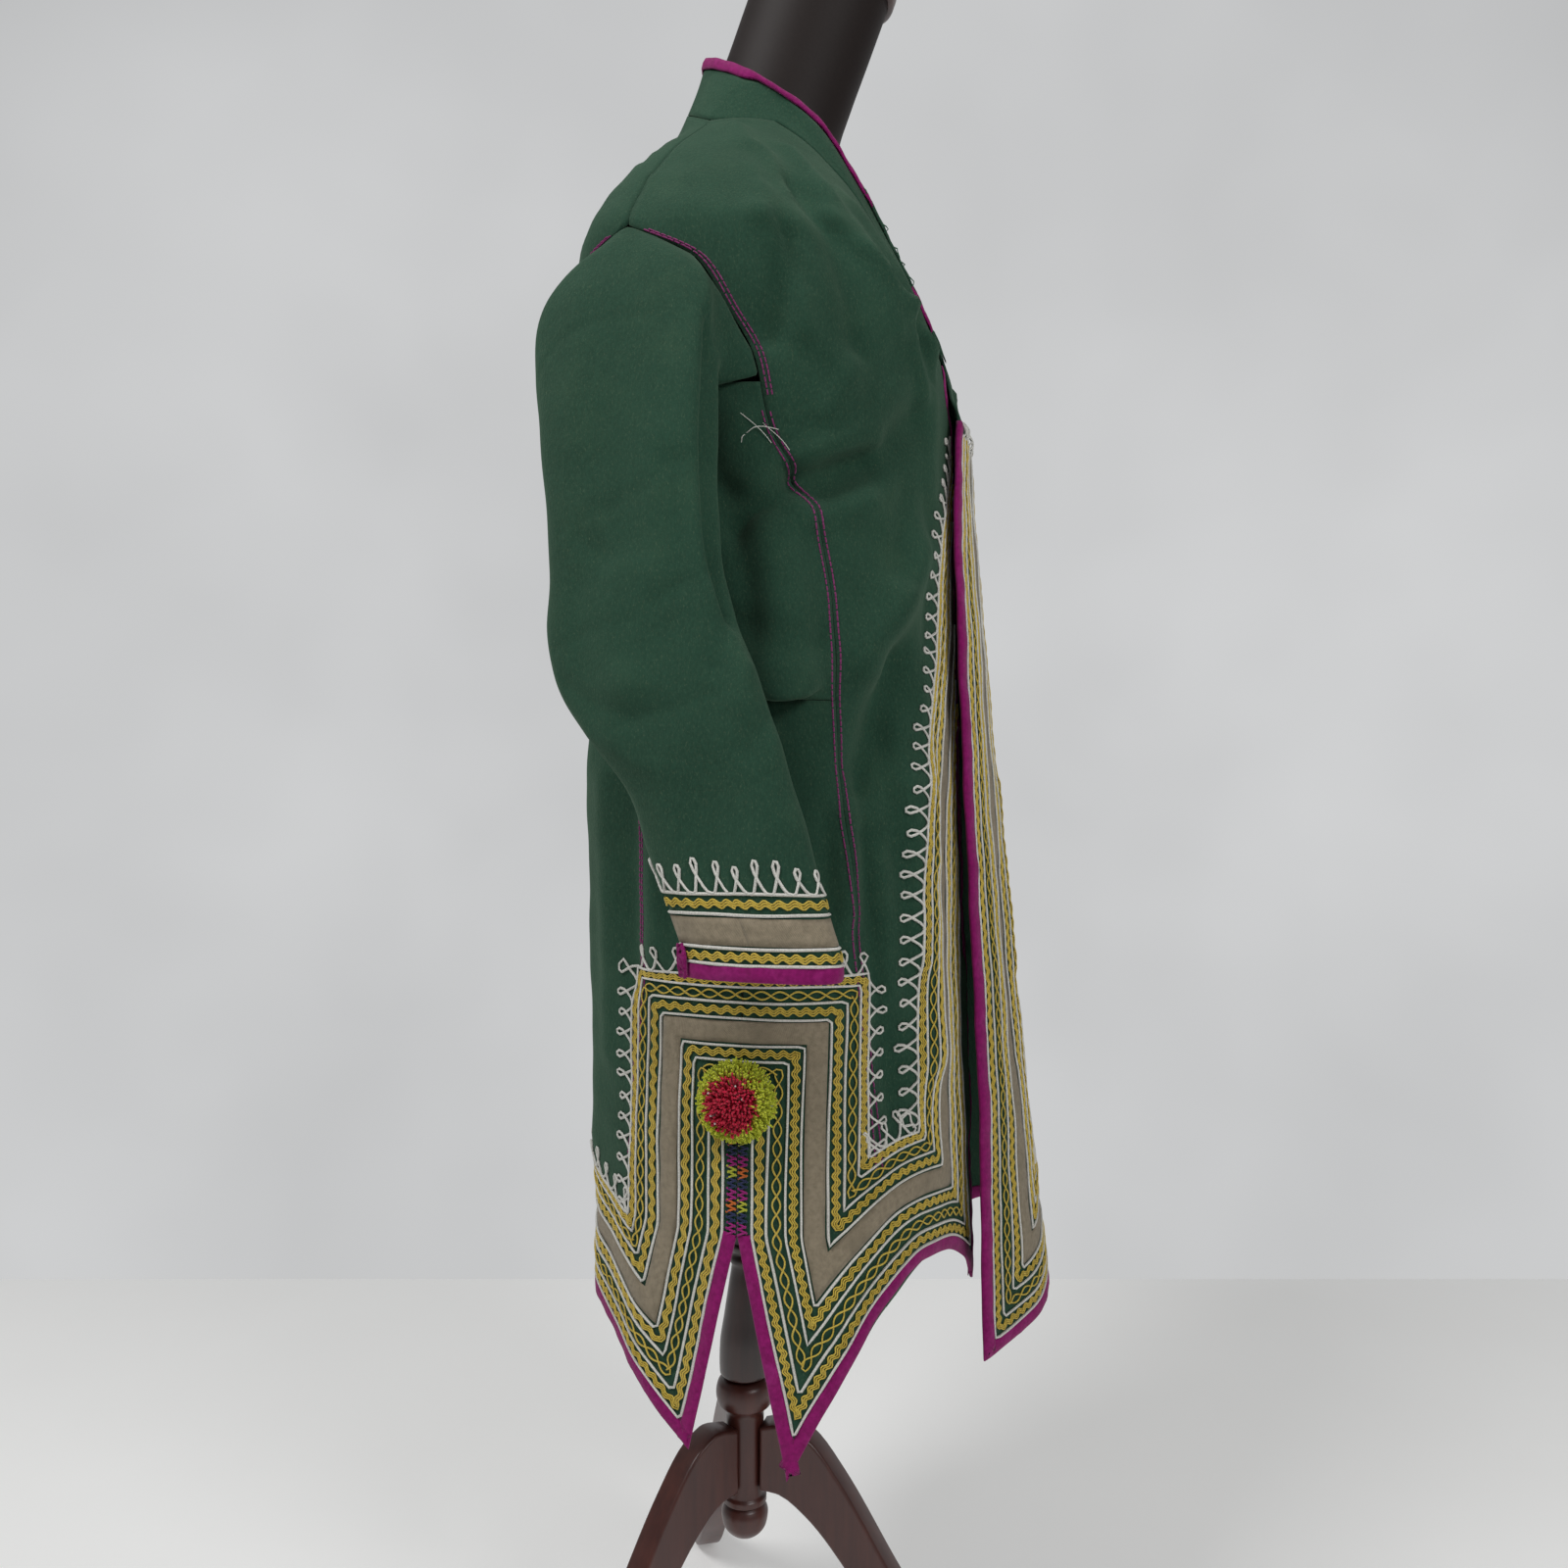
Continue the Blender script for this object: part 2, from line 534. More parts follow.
def weaveFinish(name, dark, pale, pitch, wear):
    # a flat woven tape: warp and weft from the piece's own measured coordinates
    tape = Finish(name, 0.9, Sheen_Weight=0.12)
    tape.shader.inputs["Specular IOR Level"].default_value = 0.15
    parts = tape.flat.node("ShaderNodeSeparateXYZ", None, Vector=tape.flat)
    u, v = Sock(tape.tree, parts.outputs[0]), Sock(tape.tree, parts.outputs[1])
    warp = u.math("SINE", u * (2 * math.pi / pitch))
    weft = u.math("SINE", v * (2 * math.pi / (pitch * 1.3)))
    weave = warp * weft * 0.5 + 0.5
    streaks = tape.noise(240.0, 3.0, 0.6)
    shade = tape.mix(tape.level(streaks + weave * 0.35, 0.35, 0.95), dark, pale)
    tape.colour(tape.mix(tape.level(tape.noise(30.0, 4.0, 0.65), 0.55, 0.75) * 0.5, shade, wear))
    tape.bump(weave + streaks, 0.5, 0.0006)
    return tape.material


felt = feltFinish("greenFelt", (0.010, 0.036, 0.022), (0.017, 0.053, 0.033), (0.032, 0.070, 0.041))
magenta = weaveFinish("magentaBinding", (0.160, 0.002, 0.075), (0.300, 0.008, 0.150), 0.0011,
                      (0.34, 0.03, 0.20))
taupe = weaveFinish("taupeRibbon", (0.190, 0.158, 0.108), (0.320, 0.268, 0.190), 0.0012, (0.11, 0.09, 0.06))
yellowCord = cordFinish("yellowCord", (0.42, 0.29, 0.030), (0.66, 0.50, 0.09))
whiteCord = cordFinish("whiteCord", (0.46, 0.45, 0.41), (0.74, 0.73, 0.68))
seamThread = cordFinish("seamThread", (0.17, 0.015, 0.095), (0.27, 0.04, 0.17))
magentaThread = cordFinish("magentaThread", (0.22, 0.004, 0.11), (0.36, 0.02, 0.20))
navyThread = cordFinish("navyThread", (0.010, 0.014, 0.050), (0.03, 0.04, 0.11))
orangeThread = cordFinish("orangeThread", (0.40, 0.075, 0.010), (0.60, 0.17, 0.03))
limeThread = cordFinish("limeThread", (0.26, 0.28, 0.015), (0.46, 0.48, 0.05))
greenThread = cordFinish("greenThread", (0.010, 0.06, 0.03), (0.03, 0.14, 0.07))
redYarn = cordFinish("redYarn", (0.36, 0.005, 0.022), (0.60, 0.015, 0.060))
limeYarn = cordFinish("limeYarn", (0.38, 0.44, 0.015), (0.66, 0.70, 0.060))
print("finishes ready")


# felt panels
panels = {"edgeIn": 0.0008, "slitIn": 0.0003, "frontArea": 0.27, "backArea": 0.47, "frontColumns": 46,
          "frontRows": 200, "goreColumns": 24, "goreRows": 112, "backColumns": 96, "backRows": 190}


def panelPlace(surface, first, last, low, high):
    def place(s, t):
        base = low(s)
        height = base + (high(s) - base) * t
        across = first(height) + (last(height) - first(height)) * s
        return surface.spots(across, height), np.stack([across, height], axis=1)
    return place


def sideShares(surface, part):
    # shares of the half hem at which the long seams meet it
    z = 0.42
    seam, vent = surface.edge(part + "Seam", z), surface.ventEdge(part, z)
    if part == "front":
        start, end = surface.edge("frontEdge", z), vent
    else:
        start, end = vent, surface.edge("centreBack", z)
    return float((seam - start) / (end - start))


def hemLow(surface, part, fromShare, toShare):
    hem = hems["back"] if part == "back" else hems[surface.side]
    return lambda s: read(hem, "height", fromShare + (toShare - fromShare) * s) + panels["edgeIn"]


def makeFront(side):
    surface = coats[side]
    seam = sideShares(surface, "front")
    place = panelPlace(surface, lambda z: surface.edge("frontEdge", z) + panels["edgeIn"],
                       lambda z: surface.edge("frontSeam", z) - coat["seamGap"] / 2,
                       hemLow(surface, "front", 0.0, seam), lambda s: np.full_like(s, coat["neckSide"]))
    piece = clothGrid("front" + sideTitle[side], panels["frontColumns"], panels["frontRows"], place, felt,
                      flip=side == right)
    thicken(piece, coat["cloth"])
    return settle(piece, "felt", "front_" + sideName[side])


def makeGore(side, half):
    surface = coats[side]
    seam = sideShares(surface, half)
    if half == "front":
        edges = (lambda z: surface.edge("frontSeam", z) + coat["seamGap"] / 2,
                 lambda z: surface.ventEdge("front", z) - panels["slitIn"])
        low = hemLow(surface, "front", seam, 1.0)
    else:
        edges = (lambda z: surface.ventEdge("back", z) + panels["slitIn"],
                 lambda z: surface.edge("backSeam", z) - coat["seamGap"] / 2)
        low = hemLow(surface, "back", 0.0, seam)
    place = panelPlace(surface, *edges, low, lambda s: np.full_like(s, coat["goreTop"]))
    piece = clothGrid("gore" + sideTitle[side] + half.title(), panels["goreColumns"], panels["goreRows"],
                      place, felt, flip=side == right)
    thicken(piece, coat["cloth"])
    return settle(piece, "felt", "gore_%s_%s" % (sideName[side], half))


def makeBack():
    def place(s, t):
        spots, flat = np.zeros((len(s), 3)), np.zeros((len(s), 2))
        for side in (right, left):
            surface = coats[side]
            seam = sideShares(surface, "back")
            mine = s < 0.5 if side == right else s >= 0.5
            # 0 at the side seam, 1 in the middle
            share = 2 * s[mine] if side == right else 2 - 2 * s[mine]
            base = read(hems["back"], "height", seam + (1 - seam) * share) + panels["edgeIn"]
            top = coat["neckSide"] + (coat["backNeck"] - coat["neckSide"]) * np.sin(share * math.pi / 2)
            height = base + (top - base) * t[mine]
            start = surface.edge("backSeam", height) + coat["seamGap"] / 2
            across = start + (surface.edge("centreBack", height) - start) * share
            spots[mine] = surface.spots(across, height)
            flat[mine] = np.stack([-side * (0.60 - across), height], axis=1)
        middle = np.abs(s - 0.5) < 1e-6
        spots[middle, 0] = 0.0
        return spots, flat
    piece = clothGrid("backPanel", panels["backColumns"], panels["backRows"], place, felt, flip=True)
    thicken(piece, coat["cloth"])
    return settle(piece, "felt", "back")


# gusset: its slack cloth hangs in a lobe towards the front
gusset = {"lobe": 0.24, "lobeWidth": 0.24, "columns": 56, "rows": 70}
gussetSlack = table("along out drop", [
    (0.0, 0.0, 0.0), (0.30, 0.003, 0.0), (0.50, 0.008, 0.003), (0.66, 0.015, 0.010), (0.78, 0.021, 0.022),
    (0.87, 0.023, 0.030), (0.93, 0.017, 0.020), (0.965, 0.006, 0.006), (1.0, 0.0, 0.0),
])
gussetCreases = [  # (across share, along share) both ends, width, depth
    (0.10, 0.05, 0.24, 0.62, 0.10, 0.0040), (0.30, 0.10, 0.34, 0.70, 0.07, -0.0050),
    (0.46, 0.08, 0.44, 0.66, 0.07, 0.0045), (0.60, 0.15, 0.54, 0.80, 0.08, -0.0040),
    (0.02, 0.45, 0.40, 0.30, 0.05, -0.0030), (0.05, 0.78, 0.50, 0.70, 0.05, -0.0050),
]


def makeGusset(side):
    surface = coats[side]

    def place(s, t):
        low, high = coat["goreTop"] + coat["seamGap"], coat["armpit"] - coat["seamGap"]
        height = low + (high - low) * t
        start = surface.edge("frontSeam", height) + coat["seamGap"] / 2
        end = surface.edge("backSeam", height) - coat["seamGap"] / 2
        across = start + (end - start) * s
        share = 1 - t
        weight = np.exp(-((s - gusset["lobe"]) / gusset["lobeWidth"])**2)
        weight *= smoothStep(0, 0.14, s) * smoothStep(0, 0.14, 1 - s)
        crease = strokeField(gussetCreases, s, share) * smoothStep(0, 0.08, s) * smoothStep(0, 0.08, 1 - s)
        crease *= smoothStep(0, 0.12, t) * smoothStep(0, 0.12, share)
        out = read(gussetSlack, "out", share) * weight + crease
        spots = surface.spots(across, height, out)
        spots[:, 2] -= read(gussetSlack, "drop", share) * weight
        return spots, np.stack([across, height], axis=1)
    piece = clothGrid("gusset" + sideTitle[side], gusset["columns"], gusset["rows"], place, felt,
                      flip=side == right)
    thicken(piece, coat["cloth"])
    return settle(piece, "felt", "gusset_" + sideName[side])


for side in (right, left):
    makeFront(side)
    makeGore(side, "front")
    makeGore(side, "back")
    makeGusset(side)
makeBack()
print("felt panels ready")


# sleeves
# degree and row are the rough lengths in metres of one degree round the sleeve and of one row
sleeve = {"around": 108, "rows": 150, "fullness": 2.4, "grooveWidth": 26, "turn": 3.0, "runs": 220,
          "degree": 0.00085, "row": 0.042, "girth": 0.33, "wobble": 0.0007}
sleeveRows = [
    (1.258, 1.148, 0.092, -0.066, 0.243, 0.2125),
    (1.215, 1.112, 0.089, -0.067, 0.256, 0.2160),
    (1.160, 1.075, 0.083, -0.066, 0.264, 0.2170),
    (1.095, 1.035, 0.077, -0.066, 0.267, 0.2170),
    (1.035, 1.000, 0.073, -0.070, 0.268, 0.2190),
    (0.985, 0.965, 0.0735, -0.082, 0.269, 0.2240),
    (0.945, 0.932, 0.066, -0.096, 0.270, 0.2270),
    (0.900, 0.892, 0.040, -0.110, 0.270, 0.2270),
    (0.858, 0.852, 0.007, -0.122, 0.270, 0.2230),
    (0.815, 0.811, -0.009, -0.135, 0.271, 0.2240),
    (0.772, 0.770, -0.027, -0.146, 0.272, 0.2290),
    (0.732, 0.732, -0.041, -0.158, 0.273, 0.2340),
    (0.721, 0.721, -0.041, -0.158, 0.273, 0.2340),
]
groove = table("height angle depth", [
    (0.900, 75, 0.0), (0.980, 80, 0.004), (1.060, 84, 0.010), (1.160, 86, 0.014), (1.230, 84, 0.010),
    (1.260, 82, 0.0),
])
# (angle round the sleeve, row) at both ends, width in metres, depth in metres
sleeveStrokes = {
    right: [
        (0, 4.42, -9, 6.25, 0.012, 0.0034), (-9, 6.25, -36, 7.08, 0.011, 0.0034),
        (18, 2.76, 15, 4.42, 0.012, 0.0030), (-27, 3.81, -9, 4.2, 0.006, -0.0026),
        (34, 3.0, 30, 4.6, 0.010, -0.0024), (-30, 4.6, -34, 6.0, 0.010, -0.0022),
        (50, 1.2, 44, 2.6, 0.012, 0.0024), (-20, 0.6, -26, 2.6, 0.014, 0.0022),
        (62, 5.2, 40, 6.0, 0.010, -0.0034), (74, 5.9, 46, 6.6, 0.010, 0.0030),
        (80, 6.7, 40, 7.4, 0.009, -0.0028), (-58, 6.2, -20, 6.8, 0.009, -0.0030),
        (-62, 7.0, -26, 7.7, 0.010, 0.0024), (10, 7.6, -6, 9.2, 0.014, -0.0022),
        (44, 8.0, 34, 10.4, 0.014, 0.0024), (-30, 8.4, -24, 10.6, 0.013, 0.0020),
        (72, 0.8, 80, 4.8, 0.012, -0.0070), (150, 1.0, 165, 4.0, 0.014, -0.0030),
        (200, 2.0, 210, 5.0, 0.014, 0.0028), (180, 5.5, 150, 7.5, 0.013, -0.0030),
        (240, 3.0, 236, 6.0, 0.014, 0.0024),
    ],
    left: [
        (2, 4.2, -7, 6.0, 0.012, 0.0032), (-7, 6.0, -30, 7.2, 0.011, 0.0032),
        (24, 2.5, 18, 4.6, 0.012, 0.0030), (-30, 3.6, -10, 4.1, 0.007, -0.0024),
        (36, 3.2, 28, 5.0, 0.010, -0.0024), (56, 1.0, 46, 2.9, 0.013, 0.0024),
        (66, 5.0, 38, 5.9, 0.010, -0.0032), (76, 5.8, 44, 6.7, 0.010, 0.0028),
        (84, 6.9, 44, 7.5, 0.010, -0.0026), (-60, 6.4, -22, 7.0, 0.010, -0.0028),
        (8, 7.8, -4, 9.4, 0.014, -0.0020), (46, 8.3, 36, 10.2, 0.014, 0.0022),
        (154, 1.2, 168, 4.2, 0.014, -0.0030), (204, 2.2, 212, 5.2, 0.014, 0.0026),
    ],
}
# faint piecing lines across the sleeve, as (angle, row) points
sleevePiecing = [
    [(-63, 1.27), (-20, 1.22), (15, 1.16)],
    [(-45, 3.65), (-6, 3.54), (12, 3.32), (27, 2.98), (45, 2.82)],
    [(-63, 5.53), (-3, 5.2), (12, 4.86), (27, 4.59), (63, 4.26)],
    [(-36, 7.02), (-3, 6.74), (33, 6.41), (72, 6.25)],
    [(30, 7.96), (63, 7.74)],
]


class Sleeve:
    # a tube as a fine grid over (angle round it, length from the armhole)
    def __init__(self, side):
        self.side = side
        self.angles = np.arange(0, 361, sleeve["turn"])
        rows = np.array([self.armhole()] + [self.section(row) for row in sleeveRows])
        knots = rowKnots(rows)
        self.length = knots[-1]
        self.runs = np.linspace(0, self.length, sleeve["runs"])
        tangents = np.gradient(rows, knots, axis=0)
        i = np.clip(np.searchsorted(knots, self.runs) - 1, 0, len(knots) - 2)
        step = (knots[i + 1] - knots[i])
        t = ((self.runs - knots[i]) / step)[:, None, None]
        step = step[:, None, None]
        self.points = hermite(t, step, rows[i], rows[i + 1], tangents[i], tangents[i + 1])
        self.rowAt = np.interp(self.runs, knots, np.arange(len(knots)) - 1.0)
        self.points = self.points + self.outward() * self.relief()[:, :, None]
        self.normals = self.outward()

    def relief(self):
        angle, row = np.meshgrid(self.angles, self.rowAt)
        strokes = sleeveStrokes[self.side] + [(*start, *end, 0.0030, -0.0009) for line in sleevePiecing
                                              for start, end in zip(line, line[1:])]
        across, along = sleeve["degree"], sleeve["row"]
        scaled = [(a1 * across, r1 * along, a2 * across, r2 * along, width, depth)
                  for a1, r1, a2, r2, width, depth in strokes]
        # strokes near the seam angle reach round it
        relief = sum(strokeField(scaled, (angle + turn) * across, row * along) for turn in (-360, 0, 360))
        wobble = np.sin(np.radians(angle) * 3 + row * 1.9) * np.sin(row * 2.7 - np.radians(angle) * 2)
        ends = smoothStep(0.0, 0.03, self.runs) * smoothStep(self.length, self.length - 0.05, self.runs)
        return (relief + sleeve["wobble"] * wobble) * ends[:, None]

    def armhole(self):
        surface = coats[self.side]
        heights = np.array([1.287, 1.278, 1.262, 1.240, 1.215, 1.193, 1.174])
        frontAngles = np.linspace(8, 140, 7)
        shares = np.linspace(0, 1, 9)[1:-1]
        start, end = surface.edge("frontSeam", coat["armpit"]), surface.edge("backSeam", coat["armpit"])
        angles = np.concatenate([[0], frontAngles, np.linspace(151, 209, 7), 360 - frontAngles[::-1], [360]])
        top, ridge = [coat["armholeTop"]], [surface.edge("ridge", coat["armholeTop"])]
        across = np.concatenate([ridge, surface.edge("frontSeam", heights), start + (end - start) * shares,
                                 surface.edge("backSeam", heights[::-1]), ridge])
        height = np.concatenate([top, heights, np.full(7, coat["armpit"]), heights[::-1], top])
        spots = surface.spots(np.interp(self.angles, angles, across), np.interp(self.angles, angles, height),
                              coat["seamGap"])
        spots[-1] = spots[0]
        return spots + unit(self.section(sleeveRows[0]) - spots) * 0.0008

    def section(self, row):
        outerHeight, innerHeight, back, front, outer, inner = row
        power = 2 / sleeve["fullness"]
        angle = np.radians(self.angles)
        cosine, sine = np.cos(angle), np.sin(angle)
        wide, thick = np.sign(sine) * np.abs(sine)**power, np.sign(cosine) * np.abs(cosine)**power
        height = (outerHeight + innerHeight) / 2 + (outerHeight - innerHeight) / 2 * cosine
        off = (self.angles - read(groove, "angle", height)) / sleeve["grooveWidth"]
        dent = read(groove, "depth", height) * np.exp(-off * off)
        x = (outer + inner) / 2 + (outer - inner) / 2 * thick
        y = (back + front) / 2 - ((back - front) / 2 - dent) * wide
        return np.stack([self.side * x, axisY + y, height], axis=1)

    def outward(self):
        down = np.gradient(self.points, axis=0)
        closed = np.concatenate([self.points[:, -2:-1], self.points, self.points[:, 1:2]], axis=1)
        return unit(self.side * np.cross(closed[:, 2:] - closed[:, :-2], down))

    def spots(self, angle, run, out=0.0):
        angle, run = np.broadcast_arrays(np.asarray(angle, float) % 360, np.asarray(run, float))
        blend = gridReader(run / self.length * (len(self.runs) - 1), angle / sleeve["turn"],
                           self.points.shape)
        return blend(self.points) + blend(self.normals) * np.asarray(out)[..., None]


sleeves = {side: Sleeve(side) for side in (right, left)}


def makeSleeve(side):
    tube = sleeves[side]

    def place(s, t):
        angle, run = 360 * s, tube.length * (1 - t)
        angle = np.where(s > 0.9999, 0.0, angle)
        return tube.spots(angle, run), np.stack([s * sleeve["girth"], run], axis=1)
    piece = clothGrid("sleeve" + sideTitle[side], sleeve["around"], sleeve["rows"], place, felt,
                      flip=side == left, closed=True)
    thicken(piece, coat["cloth"])
    return settle(piece, "felt", "sleeve_" + sideName[side])


for side in (right, left):
    makeSleeve(side)
print("sleeves ready")


# bound edges: a folded tape round the cloth's edge
binding = {"width": 0.011, "tape": 0.0004, "into": 0.002}
# (distance in from the edge as a share of the width, out from the cloth's outer face)
bindingProfile = [(1.0, 0.0004), (0.86, 0.0011), (0.45, 0.0013), (0.10, 0.0010), (0.0, 0.0000),
                  (-0.03, -0.0012), (0.05, -0.0024), (0.45, -0.0031), (0.9, -0.0028), (1.0, -0.0022)]


def makeBinding(name, edge, inward, normal, nodes=(), closed=False, puff=1.0, finish=magenta):
    # edge points, unit directions into the cloth and outward normals, all along the run
    run = runLength(edge)
    count = len(edge) - 1
    profile = np.array(bindingProfile)
    wrinkle = 0.00035 * np.sin(run * 260) + 0.0003 * np.sin(run * 97 + 1)

    def place(s, t):
        i = np.rint(s * count).astype(int)
        j = np.rint(t * (len(profile) - 1)).astype(int)
        if closed:
            i = np.where(i == count, 0, i)
        into, out = profile[j, 0] * binding["width"], profile[j, 1] * puff
        out = out + wrinkle[i] * (out > 0)
        spots = edge[i] + inward[i] * into[:, None] + normal[i] * out[:, None]
        return spots, np.stack([run[i], into], axis=1)
    piece = clothGrid(name, count, len(profile) - 1, place, finish, closed=closed)
    thicken(piece, binding["tape"])
    settle(piece, "binding", *nodes)


def edgeFrames(surface, run):
    # from rows of (across, height, direction into the cloth), longer at the mitred corners
    across, height, intoAcross, intoHeight = run.T
    edge = surface.spots(across, height)
    inward = unit(surface.spots(across + intoAcross * binding["into"],
                                height + intoHeight * binding["into"]) - edge)
    mitre = np.hypot(intoAcross, intoHeight)
    inward *= np.where(mitre > 1.001, 2 / np.maximum(mitre, 0.9), 1.0)[:, None]
    return edge, inward, unit(surface.spots(across, height, 0.001) - edge)


# paths at a distance from the coat's edges: down the front, along the hem, up and over the vent
def hemCurve(surface, part, distance):
    across = np.linspace(*((-0.075, 0.33) if part == "front" else (0.20, 0.640)), 500)
    height = surface.hemHeight(part, across)
    slope = np.gradient(height, across)
    size = np.hypot(1, slope)
    shifted, lifted = across - slope / size * distance, height + distance / size
    order = np.argsort(shifted)
    return shifted[order], lifted[order]


# the right front's border slants away under the left front
rightBorder = table("height across", [
    (0.340, 0.012), (0.450, 0.018), (0.608, 0.022), (0.832, 0.007), (0.992, -0.041), (1.060, -0.050),
    (1.144, -0.090),
])


def borderLegs(surface, distance, top=1.168):
    archTop = 0.609 + distance
    down = np.linspace(top, 0.34, 420)
    edge = surface.edge("frontEdge", down) + distance
    if surface.side == right:
        slanted = read(rightBorder, "across", down) + distance
        shown = slanted > surface.edge("frontEdge", down) + 0.0115
        down, edge = down[shown.argmax():], slanted[shown.argmax():]
    hemX, hemZ = hemCurve(surface, "front", distance)
    above = down > np.interp(edge, hemX, hemZ)
    keep = above.argmin() if not above.all() else len(down)
    frontLeg = np.stack([edge[:keep], down[:keep]], axis=1)
    ups = np.linspace(0.34, archTop, 260)
    legs = [frontLeg]
    ventFront = surface.ventEdge("front", ups) - distance
    start = frontLeg[-1, 0]
    inside = ups > np.interp(ventFront, hemX, hemZ)
    first = inside.argmax()
    xs = np.linspace(start, ventFront[first], 120)
    legs.append(np.stack([xs, np.interp(xs, hemX, hemZ)], axis=1))
    legs.append(np.stack([ventFront[first:], ups[first:]], axis=1))
    ventBack = surface.ventEdge("back", ups) + distance
    legs.append(np.stack([np.linspace(ventFront[-1], ventBack[-1], 24), np.full(24, archTop)], axis=1))
    hemX, hemZ = hemCurve(surface, "back", distance)
    inside = ups > np.interp(ventBack, hemX, hemZ)
    first = inside.argmax()
    legs.append(np.stack([ventBack[first:][::-1], ups[first:][::-1]], axis=1))
    middle = float(surface.edge("centreBack", 0.45 + distance))
    xs = np.linspace(ventBack[first], middle, 120)
    legs.append(np.stack([xs, np.interp(xs, hemX, hemZ)], axis=1))
    return legs


def resample(path, step):
    path = np.asarray(path)
    run = runLength(path)
    count = max(int(run[-1] / step), 2)
    at = np.linspace(0, run[-1], count + 1)
    return np.stack([np.interp(at, run, path[:, k]) for k in range(path.shape[1])], axis=1), at


def joined(legs):
    return np.concatenate([legs[0]] + [leg[1:] for leg in legs[1:]])


def sideways(flat):
    along = unit(np.gradient(flat, axis=0))
    return np.stack([-along[:, 1], along[:, 0]], axis=1)


# distances in from the coat's edge are in mm, the rest in metres
embroidery = {
    "cord": 0.00118, "yellow": 0.00074, "out": 0.0010, "whiteStep": 0.0058, "loopStep": 0.004,
    "ribbonStep": 0.006, "ribbonThickness": 0.0005,
    "white": [11.4, 23.0, 37.5, 49.0, 69.5, 82.0, 94.0, 102.0], "zigzag": [17.0, 43.2, 75.7, 98.0],
    "chain": [30.3, 88.0], "ribbon": (51.0, 67.5),
    "zigzagPeriod": 0.0100, "zigzagReach": 0.0014, "strandGap": 0.0018, "chainPeriod": 0.0280,
    "chainReach": 0.0031, "loopPitch": 0.0170, "loopHeight": 0.0185,
}
loopShape = [(-0.50, 0.00), (-0.34, 0.05), (-0.12, 0.36), (0.06, 0.64), (0.17, 0.84), (0.12, 0.98),
             (-0.02, 1.00), (-0.13, 0.86), (-0.10, 0.64), (0.03, 0.42), (0.20, 0.18), (0.36, 0.04)]
rng = random.Random(41)


def threeStrands(run):
    # the yellow wave's three strands as distances aside
    wave = np.sin(2 * math.pi * run / embroidery["zigzagPeriod"]) * embroidery["zigzagReach"]
    return [wave + strand * embroidery["strandGap"] for strand in (-1, 0, 1)]


def borderCords(side):
    surface = coats[side]
    yellow, white = [], []

    def lay(flat, out):
        return surface.spots(flat[:, 0], flat[:, 1], out)

    def course(distance, step):
        return resample(joined(borderLegs(surface, distance / 1000)), step)
    for distance in embroidery["white"]:
        flat, run = course(distance, embroidery["whiteStep"])
        drift = 0.0004 * np.sin(run * 47 + distance)
        white.append(lay(flat + sideways(flat) * drift[:, None], embroidery["out"]))
    for distance in embroidery["zigzag"]:
        flat, run = course(distance, embroidery["zigzagPeriod"] / 6)
        yellow += [lay(flat + sideways(flat) * aside[:, None], embroidery["out"])
                   for aside in threeStrands(run * (1 + 0.02 * np.sin(run * 9)))]
    for distance in embroidery["chain"]:
        flat, run = course(distance, embroidery["chainPeriod"] / 14)
        turn = 2 * math.pi * run / embroidery["chainPeriod"]
        for sign in (-1, 1):
            aside = sign * embroidery["chainReach"] * np.sin(turn)
            yellow.append(lay(flat + sideways(flat) * aside[:, None],
                              embroidery["out"] + 0.0005 + 0.0005 * sign * np.cos(turn)))
    # loops stand on the last white cord, away from the edge
    flat, run = course(embroidery["white"][-1], embroidery["loopStep"])
    lateral = sideways(flat)
    count = int(run[-1] / embroidery["loopPitch"])
    shape = np.array(loopShape)
    xs, ys = [], []
    for number in range(count):
        size = 1 + rng.uniform(-0.12, 0.10)
        lean = rng.uniform(-0.08, 0.08)
        xs += list((number + 0.5 + shape[:, 0] + lean * shape[:, 1]) * embroidery["loopPitch"])
        ys += list(shape[:, 1] * embroidery["loopHeight"] * size)
    xs, ys = np.array(xs), np.array(ys)
    base = np.stack([np.interp(xs, run, flat[:, k]) for k in (0, 1)], axis=1)
    out = unit(np.stack([np.interp(xs, run, lateral[:, k]) for k in (0, 1)], axis=1))
    white.append(lay(base + out * ys[:, None], embroidery["out"]))
    return yellow, white


def ribbonPiece(side):
    surface = coats[side]
    legs = [borderLegs(surface, distance / 1000) for distance in embroidery["ribbon"]]
    rails = []
    for pair in zip(*legs):
        longest = max(np.linalg.norm(np.diff(leg, axis=0), axis=1).sum() for leg in pair)
        at = np.linspace(0, 1, max(int(longest / embroidery["ribbonStep"]), 3) + 1)
        rails.append([np.stack([np.interp(at, np.linspace(0, 1, len(leg)), leg[:, k]) for k in (0, 1)],
                               axis=1) for leg in pair])
    inner, outer = (joined([rail[k] for rail in rails]) for k in (0, 1))
    run = runLength(inner)
    count = len(inner) - 1

    def place(s, t):
        i = np.rint(s * count).astype(int)
        flat = inner[i] + (outer[i] - inner[i]) * t[:, None]
        lift = 0.0007 + 0.0003 * np.sin(run[i] * 160 + 5 * t)
        return surface.spots(flat[:, 0], flat[:, 1], lift), np.stack([run[i], t * 0.0165], axis=1)
    piece = clothGrid("ribbon" + sideTitle[side], count, 4, place, taupe, flip=side == right)
    thicken(piece, embroidery["ribbonThickness"])
    settle(piece, "yarn")


